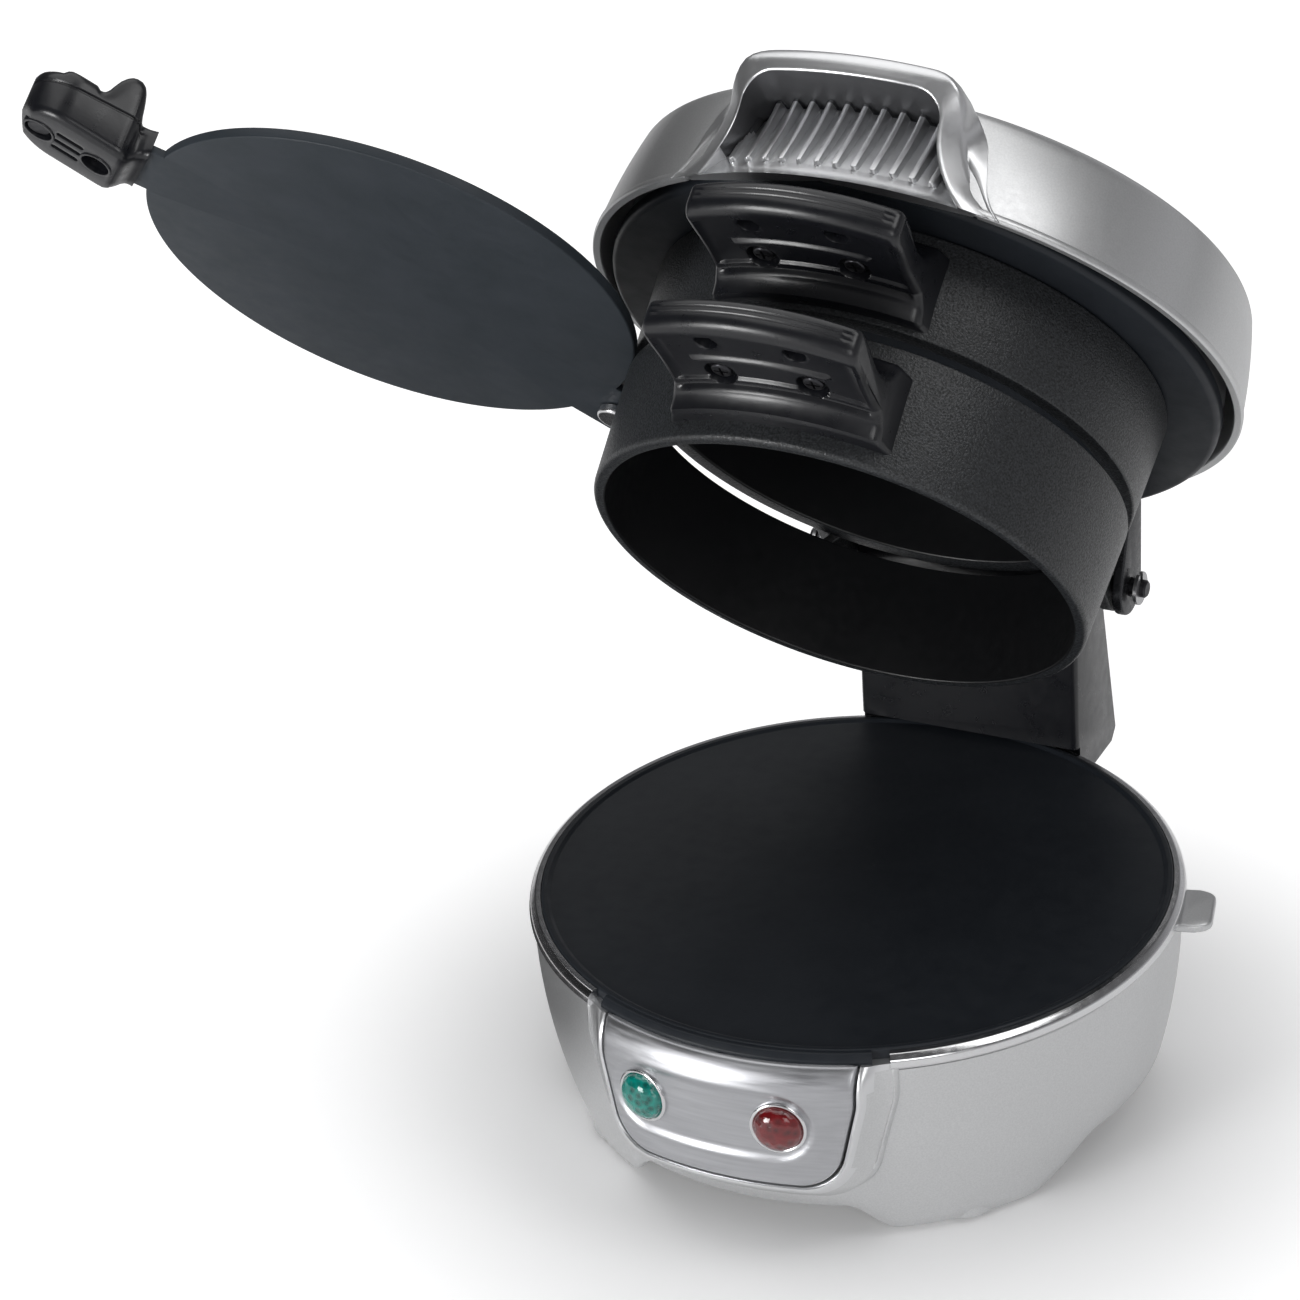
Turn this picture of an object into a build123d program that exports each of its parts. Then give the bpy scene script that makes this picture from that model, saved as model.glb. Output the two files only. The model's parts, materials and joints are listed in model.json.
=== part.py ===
from build123d import *
import os
from math import asin, cos, degrees, radians, sin

os.makedirs("parts", exist_ok=True)

# A round breakfast sandwich maker.  +Z is up, the table is Z = 0 and the origin is the centre
# of the base.  The front, with its control panel, looks along -Y; the hinge is at +Y.
# Every piece is drawn with the appliance shut, its rings stacked round the Z axis.  The rings,
# the plate and the cover are then turned about the hinge pin to stand open, plate swung out.

# ---------------------------------------------------------------- driving dimensions, mm
FILLING_D = 101.6           # the rings are made for a filling four inches across
FILLING_PLAY = 1.0
RING_H = 26.6               # bottom ring
TOP_RING_H = 22.2
PLATE_GAP = 3.2             # slot between the rings for the cooking plate
SWING_CLEARANCE = 0.35      # above and below the cooking plate

BASE_R = 70.4               # housing at its top edge
FOOT_R = 62.6               # housing at the table
FOOT_LIFT = 1.2             # rubber feet hold the skirt this far off the table
WALL = 2.2
HOTPLATE_R = 68.6
COOK_Z = 50.2               # cooking surface of the base
RIM_Z = 50.8                # raised edge round it

HINGE_Y = 73.1
HINGE_Z = 90.7
PIN_R = 2.0
RUNNING = 0.05              # radial clearance on the pins
OPEN_ANGLE = 54.5           # how far the stack stands open
COVER_PITCH = 3.0           # the cover's skirt reaches lower at the front

PIVOT_R = 60.0              # cooking plate's pivot, from the stack's axis
PIVOT_ANGLE = 181.9
SWING_ANGLE = 131.0
PLATE_R = 54.5
PLATE_HANDLE_ANGLE = -12.0

COVER_R = 71.7
COVER_LOW_Z = 109.2
COVER_SHOULDER_Z = 131.0
COVER_TOP_Z = 137.5
COVER_WALL = 1.8

PANEL_R = 74.0              # the control panel stands proud of the housing
LENS_D = 11.0
LENS_SPACING = 32.5
LENS_X = -3.5
LENS_Z = 34.5

# ---------------------------------------------------------------- places worked out from them
SEAM_Z = COOK_Z - 4.0       # where the housing meets the bright rim band
FLANGE_Z = SEAM_Z - 2.2
RING_LOW = COOK_Z + 0.4
RING_TOP = RING_LOW + RING_H
UPPER_LOW = RING_TOP + PLATE_GAP
UPPER_TOP = UPPER_LOW + TOP_RING_H
PLATE_Z = RING_TOP + SWING_CLEARANCE
PLATE_H = PLATE_GAP - 2 * SWING_CLEARANCE
BORE_R = (FILLING_D + FILLING_PLAY) / 2
LINER_Z = UPPER_TOP + 0.3   # cooking face of the cover, just over the top ring
RING_R_LOW = 54.0           # outside of the bottom ring, which widens upwards
RING_R_HIGH = 55.3
UPPER_R_LOW = 55.5
UPPER_R_HIGH = 56.5
PIVOT_X = PIVOT_R * cos(radians(PIVOT_ANGLE))
PIVOT_Y = PIVOT_R * sin(radians(PIVOT_ANGLE))

HINGE_AXIS = Axis((0, HINGE_Y, HINGE_Z), (1, 0, 0))
PIVOT_AXIS = Axis((PIVOT_X, PIVOT_Y, 0), (0, 0, 1))


def turn_about(axis, angle):
    """The move that turns a piece about an axis by an angle in degrees."""
    to_axis = Location(Plane(origin=axis.position, z_dir=axis.direction))
    return to_axis * Location((0, 0, 0), (0, 0, angle)) * to_axis.inverse()


STACK_OPEN = turn_about(HINGE_AXIS, -OPEN_ANGLE)
COVER_OPEN = turn_about(HINGE_AXIS, COVER_PITCH - OPEN_ANGLE)
PLATE_OPEN = STACK_OPEN * turn_about(PIVOT_AXIS, -SWING_ANGLE)


def polar(radius, angle):
    """A point in plan, its angle measured from the +X axis."""
    return (radius * cos(radians(angle)), radius * sin(radians(angle)))


def radial_plane(angle):
    """Upright plane through the Z axis: local x runs outwards, local y is up."""
    out = Vector(*polar(1, angle), 0)
    return Plane(origin=(0, 0, 0), x_dir=out, z_dir=out.cross(Vector(0, 0, 1)))


# ================================================================ BASE
SKIRT_MID = (68.3, 22.0)    # the skirt's outline bows through this point
FIT = 0.05                  # gap between the housing and what is mounted on it

# outside form of the housing and rim, which the pieces mounted on it are cut to
with BuildPart() as base_form:
    with BuildSketch(Plane.XZ):
        with BuildLine():
            ThreePointArc(
                (BASE_R + FIT, SEAM_Z), (SKIRT_MID[0] + FIT, SKIRT_MID[1]), (FOOT_R + FIT, FOOT_LIFT)
            )
            Polyline(
                (FOOT_R + FIT, FOOT_LIFT), (0, FOOT_LIFT), (0, RIM_Z + 0.2), (71.4, RIM_Z + 0.2),
                (71.4, SEAM_Z + 0.7), (BASE_R + FIT, SEAM_Z + 0.7), (BASE_R + FIT, SEAM_Z),
            )
        make_face()
    revolve(axis=Axis.Z)

# ---------------------------------------------------------------- housing
HOTPLATE_BOSS_ANGLES = (30, 150, 270)
HOTPLATE_BOSS_R = 55.0
HOTPLATE_BOSS_H = 11.0
COVER_BOSS_R = 57.0
COVER_BOSS_ANGLES = (45, 135, 225, 315)
BOTTOM_Z = 15.0             # underside of the bottom cover
BOTTOM_T = 1.6
FOOT_PAD_R = 56.5
GLAND_Z = 22.5
GLAND_HOLE_R = 4.5
POST_SCREW_X = 12.0
POST_SCREW_Z = 35.0
ARCHES = (
    # plane, half-width at the table, half-width at the top, height of the top
    (Plane.YZ, 35.5, 19.0, 12.6),
    (Plane.XZ, 32.5, 22.0, 9.2),
)

with BuildPart() as base_housing:
    with BuildSketch(Plane.XZ):
        with BuildLine():
            ThreePointArc((BASE_R, SEAM_Z), SKIRT_MID, (FOOT_R, FOOT_LIFT))
            Line((FOOT_R, FOOT_LIFT), (FOOT_R - WALL, FOOT_LIFT))
            ThreePointArc(
                (FOOT_R - WALL, FOOT_LIFT),
                (SKIRT_MID[0] - WALL, SKIRT_MID[1]),
                (BASE_R - WALL, FLANGE_Z),
            )
            Polyline(
                (BASE_R - WALL, FLANGE_Z),
                (62.0, FLANGE_Z),
                (62.0, FLANGE_Z + 1.4),
                (BASE_R - WALL, FLANGE_Z + 1.4),
                (BASE_R - WALL, SEAM_Z + 0.8),
                (BASE_R - 0.9, SEAM_Z + 0.8),
                (BASE_R - 0.9, SEAM_Z),
                (BASE_R, SEAM_Z),
            )
        make_face()
    revolve(axis=Axis.Z)
    # bosses under the flange carry the hotplate
    for angle in HOTPLATE_BOSS_ANGLES:
        with BuildSketch(Plane.XY.offset(FLANGE_Z - HOTPLATE_BOSS_H)):
            with Locations(polar(HOTPLATE_BOSS_R, angle)):
                Circle(4.5)
            with PolarLocations(HOTPLATE_BOSS_R + 6, 1, angle):
                Rectangle(11, 3)
        extrude(amount=HOTPLATE_BOSS_H)
    with BuildSketch(Plane.XY.offset(FLANGE_Z + 0.7)):
        for angle in HOTPLATE_BOSS_ANGLES:
            with PolarLocations(HOTPLATE_BOSS_R + 4, 1, angle):
                Rectangle(9, 7)
    extrude(amount=0.7, both=True)
    # bosses for the bottom cover, and pads for the rubber feet, inside the legs
    for angle in COVER_BOSS_ANGLES:
        with BuildSketch(Plane.XY.offset(BOTTOM_Z + BOTTOM_T)):
            with Locations(polar(COVER_BOSS_R, angle)):
                Circle(4)
            with PolarLocations(COVER_BOSS_R + 5, 1, angle):
                Rectangle(10, 2.4)
        extrude(amount=13)
        with BuildSketch(Plane.XY.offset(FOOT_LIFT)):
            with Locations(polar(FOOT_PAD_R, angle)):
                Circle(7)
            with PolarLocations(FOOT_PAD_R + 2.5, 1, angle):
                Rectangle(5, 14)
        extrude(amount=3)
    # screw holes from below
    with BuildSketch(Plane.XY):
        with PolarLocations(HOTPLATE_BOSS_R, 3, 30):
            Circle(1.6)
        with PolarLocations(COVER_BOSS_R, 4, 45):
            Circle(1.5)
    extrude(amount=FLANGE_Z + 2, mode=Mode.SUBTRACT)
    # arches between the four legs: deep ones at the sides, shallow ones front and back
    for plane, half_low, half_top, height in ARCHES:
        with BuildSketch(plane):
            with BuildLine():
                # each side swings up from the table in one S-curve
                for side in (-1, 1):
                    Spline(
                        (side * half_low, FOOT_LIFT), (side * half_top, height),
                        tangents=((-side, 0), (-side, 0)),
                    )
                Line((-half_top, height), (half_top, height))
                Polyline(
                    (-half_low, FOOT_LIFT), (-half_low - 3, FOOT_LIFT), (-half_low - 3, -2),
                    (half_low + 3, -2), (half_low + 3, FOOT_LIFT), (half_low, FOOT_LIFT),
                )
            make_face()
        extrude(amount=90, both=True, mode=Mode.SUBTRACT)
    # window behind the control panel
    with BuildSketch(Plane.XZ):
        with Locations((LENS_X, LENS_Z)):
            Rectangle(46, 14)
    extrude(amount=90, mode=Mode.SUBTRACT)
    # cord inlet and the two screw holes of the hinge post, at the back
    with BuildSketch(Plane.XZ):
        with Locations((0, GLAND_Z)):
            Circle(GLAND_HOLE_R)
        with Locations((-POST_SCREW_X, POST_SCREW_Z), (POST_SCREW_X, POST_SCREW_Z)):
            Circle(2.0)
    extrude(amount=-90, mode=Mode.SUBTRACT)
base_housing.part.label = "base_housing"
export_step(base_housing.part, "parts/base_housing.step")

# ---------------------------------------------------------------- bright rim band, open at the front
TRIM_GAP = 29.0             # degrees each side of the front left to the control panel

with BuildPart() as base_rim_trim:
    with BuildSketch(Plane.XZ):
        with BuildLine():
            Polyline((68.75, RIM_Z - 0.4), (68.75, SEAM_Z + 0.8), (70.9, SEAM_Z + 0.8))
            ThreePointArc((70.9, SEAM_Z + 0.8), (71.3, SEAM_Z + 2.1), (70.5, SEAM_Z + 3.4))
            ThreePointArc((70.5, SEAM_Z + 3.4), (69.8, RIM_Z - 0.55), (68.75, RIM_Z - 0.4))
        make_face()
    revolve(axis=Axis.Z)
    with BuildSketch(Plane.XY.offset(SEAM_Z)):
        with BuildLine():
            Polyline(
                (0, 0), polar(90, 270 - TRIM_GAP), (0, -100), polar(90, 270 + TRIM_GAP), close=True
            )
        make_face()
    extrude(amount=6, mode=Mode.SUBTRACT)
base_rim_trim.part.label = "base_rim_trim"
export_step(base_rim_trim.part, "parts/base_rim_trim.step")

# ---------------------------------------------------------------- small tab on the right of the rim
TAB_ANGLE = 14.5            # behind the +X axis
TAB_T = 2.0

with BuildPart() as side_tab:
    with BuildSketch(Plane.XY.offset(SEAM_Z - TAB_T + 0.3)):
        with PolarLocations(73.0, 1, TAB_ANGLE):
            RectangleRounded(9.4, 15, 3.6)
        with PolarLocations(70.5, 1, TAB_ANGLE):
            Rectangle(4.4, 15)
    extrude(amount=TAB_T)
    add(base_form.part, mode=Mode.SUBTRACT)
side_tab.part.label = "side_tab"
export_step(side_tab.part, "parts/side_tab.step")

# ---------------------------------------------------------------- control panel
BEZEL_LOW = 14.8
PANEL_LOW = 20.4
PANEL_TOP = 48.4
PANEL_GAP = 0.45
LAMP_ANGLES = [
    degrees(asin((LENS_X + side * LENS_SPACING / 2) / PANEL_R)) for side in (-1, 1)
]


def panel_form(front_r, top):
    """Block of the panel's outer shape: an upright face that rolls back to the plate."""
    with BuildPart() as form:
        with BuildSketch(Plane.XZ):
            with BuildLine():
                Polyline((71.3, top), (66.0, top), (66.0, BEZEL_LOW), (front_r - 3, BEZEL_LOW))
                ThreePointArc(
                    (front_r - 3, BEZEL_LOW),
                    (front_r - 0.9, BEZEL_LOW + 0.9),
                    (front_r, BEZEL_LOW + 3),
                )
                Line((front_r, BEZEL_LOW + 3), (front_r, top - 8))
                ThreePointArc((front_r, top - 8), (front_r - 0.8, top - 3), (71.3, top))
            make_face()
        revolve(axis=Axis.Z)
        add(base_form.part, mode=Mode.SUBTRACT)
    return form.part


def shield(half_top, half_low, low, corner, grow=0.0):
    """Front view of the panel: a shield with upright sides and large lower corners."""
    with BuildSketch(Plane.XZ) as outline:
        with BuildLine():
            Polyline(
                (-half_top, 60), (half_top, 60), (half_top, 40),
                (half_low, low), (-half_low, low), (-half_top, 40), close=True,
            )
        make_face()
        fillet(outline.vertices().filter_by(lambda v: v.Z < low + 1), corner)
        fillet(outline.vertices().filter_by(lambda v: 39 < v.Z < 41), 14)
        if grow:
            offset(amount=grow)
    return outline.sketch


BEZEL_OUTLINE = shield(35.6, 29.0, BEZEL_LOW, 11)
PANEL_OUTLINE = shield(28.4, 24.2, PANEL_LOW, 9)
PANEL_MOUTH = shield(28.4, 24.2, PANEL_LOW, 9, grow=PANEL_GAP)

with BuildPart() as control_bezel:
    add(panel_form(PANEL_R, PANEL_TOP))
    extrude(BEZEL_OUTLINE, amount=100, mode=Mode.INTERSECT)
    extrude(PANEL_MOUTH, amount=100, mode=Mode.SUBTRACT)
control_bezel.part.label = "control_bezel"
export_step(control_bezel.part, "parts/control_bezel.step")

RECESS_DEPTH = 1.0
FACE_R = PANEL_R + 0.3 - RECESS_DEPTH   # floor of the pill-shaped recess
LENS_RING_R = LENS_D / 2 + 1.1
RING_SEAT = 0.8             # the bright rings sit this deep in the panel


def lamp_plane(angle, radius):
    """Plane facing outwards at a lamp, its origin on the panel at lamp height."""
    out = Vector(sin(radians(angle)), -cos(radians(angle)), 0)
    return Plane(origin=out * radius + Vector(0, 0, LENS_Z), x_dir=(0, 0, 1), z_dir=out)


with BuildPart() as pill_recess:
    with BuildSketch(Plane.XZ):
        with Locations((LENS_X, LENS_Z)):
            SlotOverall(47.0, 16.4)
    extrude(amount=100)
    Cylinder(FACE_R, 200, mode=Mode.SUBTRACT)

with BuildPart() as control_panel:
    add(panel_form(PANEL_R + 0.3, PANEL_TOP + 0.2))
    extrude(PANEL_OUTLINE, amount=100, mode=Mode.INTERSECT)
    add(pill_recess.part, mode=Mode.SUBTRACT)
    for angle in LAMP_ANGLES:
        with BuildSketch(lamp_plane(angle, 60)):
            Circle(LENS_D / 2 + 0.1)
        extrude(amount=20, mode=Mode.SUBTRACT)
        with BuildSketch(lamp_plane(angle, FACE_R - RING_SEAT)):
            Circle(LENS_RING_R)
        extrude(amount=20, mode=Mode.SUBTRACT)
control_panel.part.label = "control_panel"
export_step(control_panel.part, "parts/control_panel.step")

with BuildPart() as lens_rings:
    for angle in LAMP_ANGLES:
        with BuildSketch(lamp_plane(angle, FACE_R - RING_SEAT)):
            Circle(LENS_RING_R)
            Circle(LENS_D / 2, mode=Mode.SUBTRACT)
        extrude(amount=RING_SEAT + 0.6)
lens_rings.part.label = "lens_rings"
export_step(lens_rings.part, "parts/lens_rings.step")


def jewel_lens(angle):
    """Domed lens with a collar behind the panel."""
    with BuildPart() as lens:
        with BuildSketch(lamp_plane(angle, FACE_R - 6)):
            Circle(LENS_D / 2)
        extrude(amount=7)
        face = lens.faces().filter_by(GeomType.PLANE).sort_by(
            Axis((0, 0, LENS_Z), (sin(radians(angle)), -cos(radians(angle)), 0))
        )[-1]
        extrude(face, amount=2.4, taper=42)
    return lens.part


with BuildPart() as ready_lens:
    add(jewel_lens(LAMP_ANGLES[0]))
ready_lens.part.label = "ready_lens"
export_step(ready_lens.part, "parts/ready_lens.step")

with BuildPart() as power_lens:
    add(jewel_lens(LAMP_ANGLES[1]))
power_lens.part.label = "power_lens"
export_step(power_lens.part, "parts/power_lens.step")

with BuildPart() as indicator_lamps:
    for angle in LAMP_ANGLES:
        with BuildSketch(lamp_plane(angle, FACE_R - 15)):
            Circle(3)
        extrude(amount=9)
        with BuildSketch(lamp_plane(angle, FACE_R - 20.5)):
            Circle(4)
        extrude(amount=6)
indicator_lamps.part.label = "indicator_lamps"
export_step(indicator_lamps.part, "parts/indicator_lamps.step")

# ---------------------------------------------------------------- lower hotplate
LIP_HALF_ANGLE = 26.0
LIP_R = 70.5
HOTPLATE_UNDER = 3.4        # metal below the cooking surface

with BuildPart() as lower_hotplate:
    with BuildSketch(Plane.XZ):
        with BuildLine():
            Polyline(
                (0, COOK_Z), (66.6, COOK_Z), (67.4, RIM_Z), (68.2, RIM_Z), (HOTPLATE_R, RIM_Z - 0.4),
                (HOTPLATE_R, SEAM_Z + 0.9), (68.1, SEAM_Z + 0.9), (68.1, FLANGE_Z + 1.4),
                (62.0, FLANGE_Z + 1.4), (62.0, COOK_Z - HOTPLATE_UNDER),
                (0, COOK_Z - HOTPLATE_UNDER), close=True,
            )
        make_face()
    revolve(axis=Axis.Z)
    # drip lip over the control panel
    with BuildSketch(radial_plane(270 - LIP_HALF_ANGLE)):
        with BuildLine():
            Polyline((67.6, SEAM_Z + 1.1), (67.6, RIM_Z), (68.4, RIM_Z))
            ThreePointArc((68.4, RIM_Z), (69.8, RIM_Z - 0.7), (LIP_R, RIM_Z - 2.0))
            Polyline((LIP_R, RIM_Z - 2.0), (LIP_R, SEAM_Z + 1.1), (67.6, SEAM_Z + 1.1))
        make_face()
    revolve(axis=Axis.Z, revolution_arc=2 * LIP_HALF_ANGLE)
    # pads over the bosses of the housing
    with BuildSketch(Plane.XY.offset(FLANGE_Z + 1.4)):
        with PolarLocations(HOTPLATE_BOSS_R, 3, 30):
            Circle(4.5)
    extrude(until=Until.NEXT)
    with BuildSketch(Plane.XY.offset(FLANGE_Z)):
        with PolarLocations(HOTPLATE_BOSS_R, 3, 30):
            Circle(1.5)
    extrude(amount=COOK_Z - FLANGE_Z - 1.6, mode=Mode.SUBTRACT)
lower_hotplate.part.label = "lower_hotplate"
export_step(lower_hotplate.part, "parts/lower_hotplate.step")


def screw(head_r, head_h, shank_r, length):
    """Pan head screw, point up, the underside of its head at Z = 0."""
    with BuildPart() as fastener:
        Cylinder(head_r, head_h, align=(Align.CENTER, Align.CENTER, Align.MAX))
        fillet(fastener.edges().sort_by(Axis.Z)[0], head_h * 0.45)
        Cylinder(shank_r, length, align=(Align.CENTER, Align.CENTER, Align.MIN))
        chamfer(fastener.edges().sort_by(Axis.Z)[-1], shank_r * 0.5)
    return fastener.part


HOTPLATE_SCREW = screw(3.0, 1.8, 1.5, 15)

with BuildPart() as hotplate_screws:
    with Locations((0, 0, FLANGE_Z - HOTPLATE_BOSS_H)):
        with PolarLocations(HOTPLATE_BOSS_R, 3, 30):
            add(HOTPLATE_SCREW)
hotplate_screws.part.label = "hotplate_screws"
export_step(hotplate_screws.part, "parts/hotplate_screws.step")

# ---------------------------------------------------------------- inside the base
ELEMENT_R = 44.0
ELEMENT_TUBE_R = 3.2
ELEMENT_Z = COOK_Z - HOTPLATE_UNDER - ELEMENT_TUBE_R
ELEMENT_ARC = 310.0
SHIELD_Z = 30.0
SHIELD_R = 50.0
SHEET = 0.6

with BuildPart() as lower_heating_element:
    with BuildSketch(radial_plane(295)):
        with Locations((ELEMENT_R, ELEMENT_Z)):
            Circle(ELEMENT_TUBE_R)
    revolve(axis=Axis.Z, revolution_arc=ELEMENT_ARC)
    # cold ends turned down towards the terminal block
    for angle in (295, 295 + ELEMENT_ARC):
        with BuildSketch(Plane.XY.offset(ELEMENT_Z - 9)):
            with Locations(polar(ELEMENT_R, angle)):
                Circle(ELEMENT_TUBE_R)
        extrude(amount=9)
        with BuildSketch(Plane.XY.offset(ELEMENT_Z - 12.5)):
            with Locations(polar(ELEMENT_R, angle)):
                Rectangle(1, 4)
        extrude(amount=3.5)
lower_heating_element.part.label = "lower_heating_element"
export_step(lower_heating_element.part, "parts/lower_heating_element.step")

with BuildPart() as lower_thermostat:
    with BuildSketch(Plane.XY.offset(COOK_Z - HOTPLATE_UNDER - 8)):
        Circle(9)
    extrude(amount=8)
    with BuildSketch(Plane.XY.offset(COOK_Z - HOTPLATE_UNDER - 1.5)):
        Rectangle(30, 8)
    extrude(amount=1.5)
    with BuildSketch(Plane.XY.offset(COOK_Z - HOTPLATE_UNDER - 13)):
        with Locations((-5, 0), (5, 0)):
            Rectangle(0.8, 6.3)
    extrude(amount=6)
lower_thermostat.part.label = "lower_thermostat"
export_step(lower_thermostat.part, "parts/lower_thermostat.step")

with BuildPart() as thermal_fuse:
    with BuildSketch(Plane.YZ.offset(18)):
        with Locations((22, COOK_Z - HOTPLATE_UNDER - 2.2)):
            Circle(2.2)
    extrude(amount=12)
    with BuildSketch(Plane.XY.offset(COOK_Z - HOTPLATE_UNDER - 5)):
        with Locations((24, 22)):
            RectangleRounded(5, 9, 1)
    extrude(amount=5)
thermal_fuse.part.label = "thermal_fuse"
export_step(thermal_fuse.part, "parts/thermal_fuse.step")

with BuildPart() as heat_shield:
    with BuildSketch(Plane.XZ):
        with BuildLine():
            Polyline(
                (0, SHIELD_Z), (SHIELD_R - 4, SHIELD_Z), (SHIELD_R, SHIELD_Z + 4),
                (SHIELD_R, FLANGE_Z + 1.4 - SHEET), (SHIELD_R + 1.2, FLANGE_Z + 1.4 - SHEET),
                (SHIELD_R + 1.2, FLANGE_Z + 1.4), (SHIELD_R - SHEET, FLANGE_Z + 1.4),
                (SHIELD_R - SHEET, SHIELD_Z + 4.3), (SHIELD_R - 4.3, SHIELD_Z + SHEET),
                (0, SHIELD_Z + SHEET), close=True,
            )
        make_face()
    revolve(axis=Axis.Z)
    # ears to the hotplate's bosses, and holes that let the leads through
    with BuildSketch(Plane.XY.offset(FLANGE_Z - HOTPLATE_BOSS_H - SHEET)):
        with PolarLocations(HOTPLATE_BOSS_R - 2, 3, 30):
            RectangleRounded(12, 10, 2)
    extrude(amount=SHEET)
    with BuildSketch(Plane.XY.offset(SHIELD_Z - 4)):
        with PolarLocations(HOTPLATE_BOSS_R, 3, 30):
            Circle(3.2)
        with Locations((-16, -20), (16, -20), (0, 20)):
            Circle(4)
    extrude(amount=8, mode=Mode.SUBTRACT)
heat_shield.part.label = "heat_shield"
export_step(heat_shield.part, "parts/heat_shield.step")

TERMINAL_Y = 34.0

with BuildPart() as terminal_block:
    with BuildSketch(Plane.XY.offset(BOTTOM_Z + BOTTOM_T)):
        with Locations((0, TERMINAL_Y)):
            Rectangle(30, 14)
    extrude(amount=8)
    with BuildSketch(Plane.XY.offset(BOTTOM_Z + BOTTOM_T + 8)):
        with Locations((0, TERMINAL_Y)):
            with GridLocations(10, 1, 3, 1):
                Circle(2.6)
    extrude(amount=-5, mode=Mode.SUBTRACT)
terminal_block.part.label = "terminal_block"
export_step(terminal_block.part, "parts/terminal_block.step")

WIRE_R = 1.1


def lead(*points):
    """One insulated lead along a smooth line through the points."""
    with BuildPart() as wire:
        with BuildLine() as route:
            Spline(*points)
        with BuildSketch(Plane(origin=route.line @ 0, z_dir=route.line % 0)):
            Circle(WIRE_R)
        sweep()
    return wire.part


with BuildPart() as base_wiring:
    for side in (-1, 1):
        add(lead(
            (side * 10, TERMINAL_Y - 7.2, 20.5), (side * 12, 16, 20.8), (side * 18, -6, 21.5),
            (side * 16.4, -19, 26), (side * 16, -22, 32), (side * 17.6, -31, 35),
            (side * 18.3, -36.2, 33.4),
        ))
    add(lead((0, TERMINAL_Y + 7.2, 22.2), (0, 50, 22.5), (0, 64, GLAND_Z)))
base_wiring.part.label = "base_wiring"
export_step(base_wiring.part, "parts/base_wiring.step")

BOTTOM_R = 64.2

with BuildPart() as bottom_cover:
    with BuildSketch(Plane.XY.offset(BOTTOM_Z)):
        Circle(BOTTOM_R)
        with PolarLocations(COVER_BOSS_R, 4, 45):
            Circle(1.6, mode=Mode.SUBTRACT)
        # ventilation slots in three rings
        for ring_r in (14, 24, 34):
            with PolarLocations(ring_r, ring_r // 2, 0):
                SlotOverall(7, 2.2, mode=Mode.SUBTRACT)
    extrude(amount=BOTTOM_T)
    # stiffening ring, clear of the housing's bosses
    with BuildSketch(Plane.XY.offset(BOTTOM_Z + BOTTOM_T)):
        Circle(51)
        Circle(49.4, mode=Mode.SUBTRACT)
    extrude(amount=4)
bottom_cover.part.label = "bottom_cover"
export_step(bottom_cover.part, "parts/bottom_cover.step")

BOTTOM_SCREW = screw(3.0, 1.8, 1.5, 11)

with BuildPart() as bottom_cover_screws:
    with Locations((0, 0, BOTTOM_Z)):
        with PolarLocations(COVER_BOSS_R, 4, 45):
            add(BOTTOM_SCREW)
bottom_cover_screws.part.label = "bottom_cover_screws"
export_step(bottom_cover_screws.part, "parts/bottom_cover_screws.step")

with BuildPart() as rubber_feet:
    with BuildSketch(Plane.XY):
        with PolarLocations(FOOT_PAD_R - 0.5, 4, 45):
            Circle(5.2)
    extrude(amount=FOOT_LIFT)
    chamfer(rubber_feet.edges().group_by(Axis.Z)[0], 0.4)
rubber_feet.part.label = "rubber_feet"
export_step(rubber_feet.part, "parts/rubber_feet.step")

# ---------------------------------------------------------------- cord inlet
with BuildPart() as cord_gland:
    with BuildSketch(Plane.XZ.offset(-66)):
        with Locations((0, GLAND_Z)):
            Circle(GLAND_HOLE_R + 1.2)
    extrude(amount=-7.4)
    fillet(cord_gland.edges().sort_by(Axis.Y)[-1], 1.2)
    add(base_form.part, mode=Mode.SUBTRACT)
    with BuildSketch(Plane.XZ.offset(-61)):
        with Locations((0, GLAND_Z)):
            Circle(GLAND_HOLE_R)
    extrude(amount=-9)
    with BuildSketch(Plane.XZ.offset(-61)):
        with Locations((0, GLAND_Z)):
            Circle(GLAND_HOLE_R + 1.1)
    extrude(amount=-2.8)
    with BuildSketch(Plane.XZ.offset(-60)):
        with Locations((0, GLAND_Z)):
            Circle(2.8)
    extrude(amount=-20, mode=Mode.SUBTRACT)
cord_gland.part.label = "cord_gland"
export_step(cord_gland.part, "parts/cord_gland.step")

# ---------------------------------------------------------------- hinge post
POST_HALF = 26.5
POST_SHELL = 2.6
POST_TOP_R = 8.0
POST_FRONT_Y = 64.5
POST_LOW = 41.0
POST_REAR_Y = 90.0
FOOT_HALF = 18.0

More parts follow.
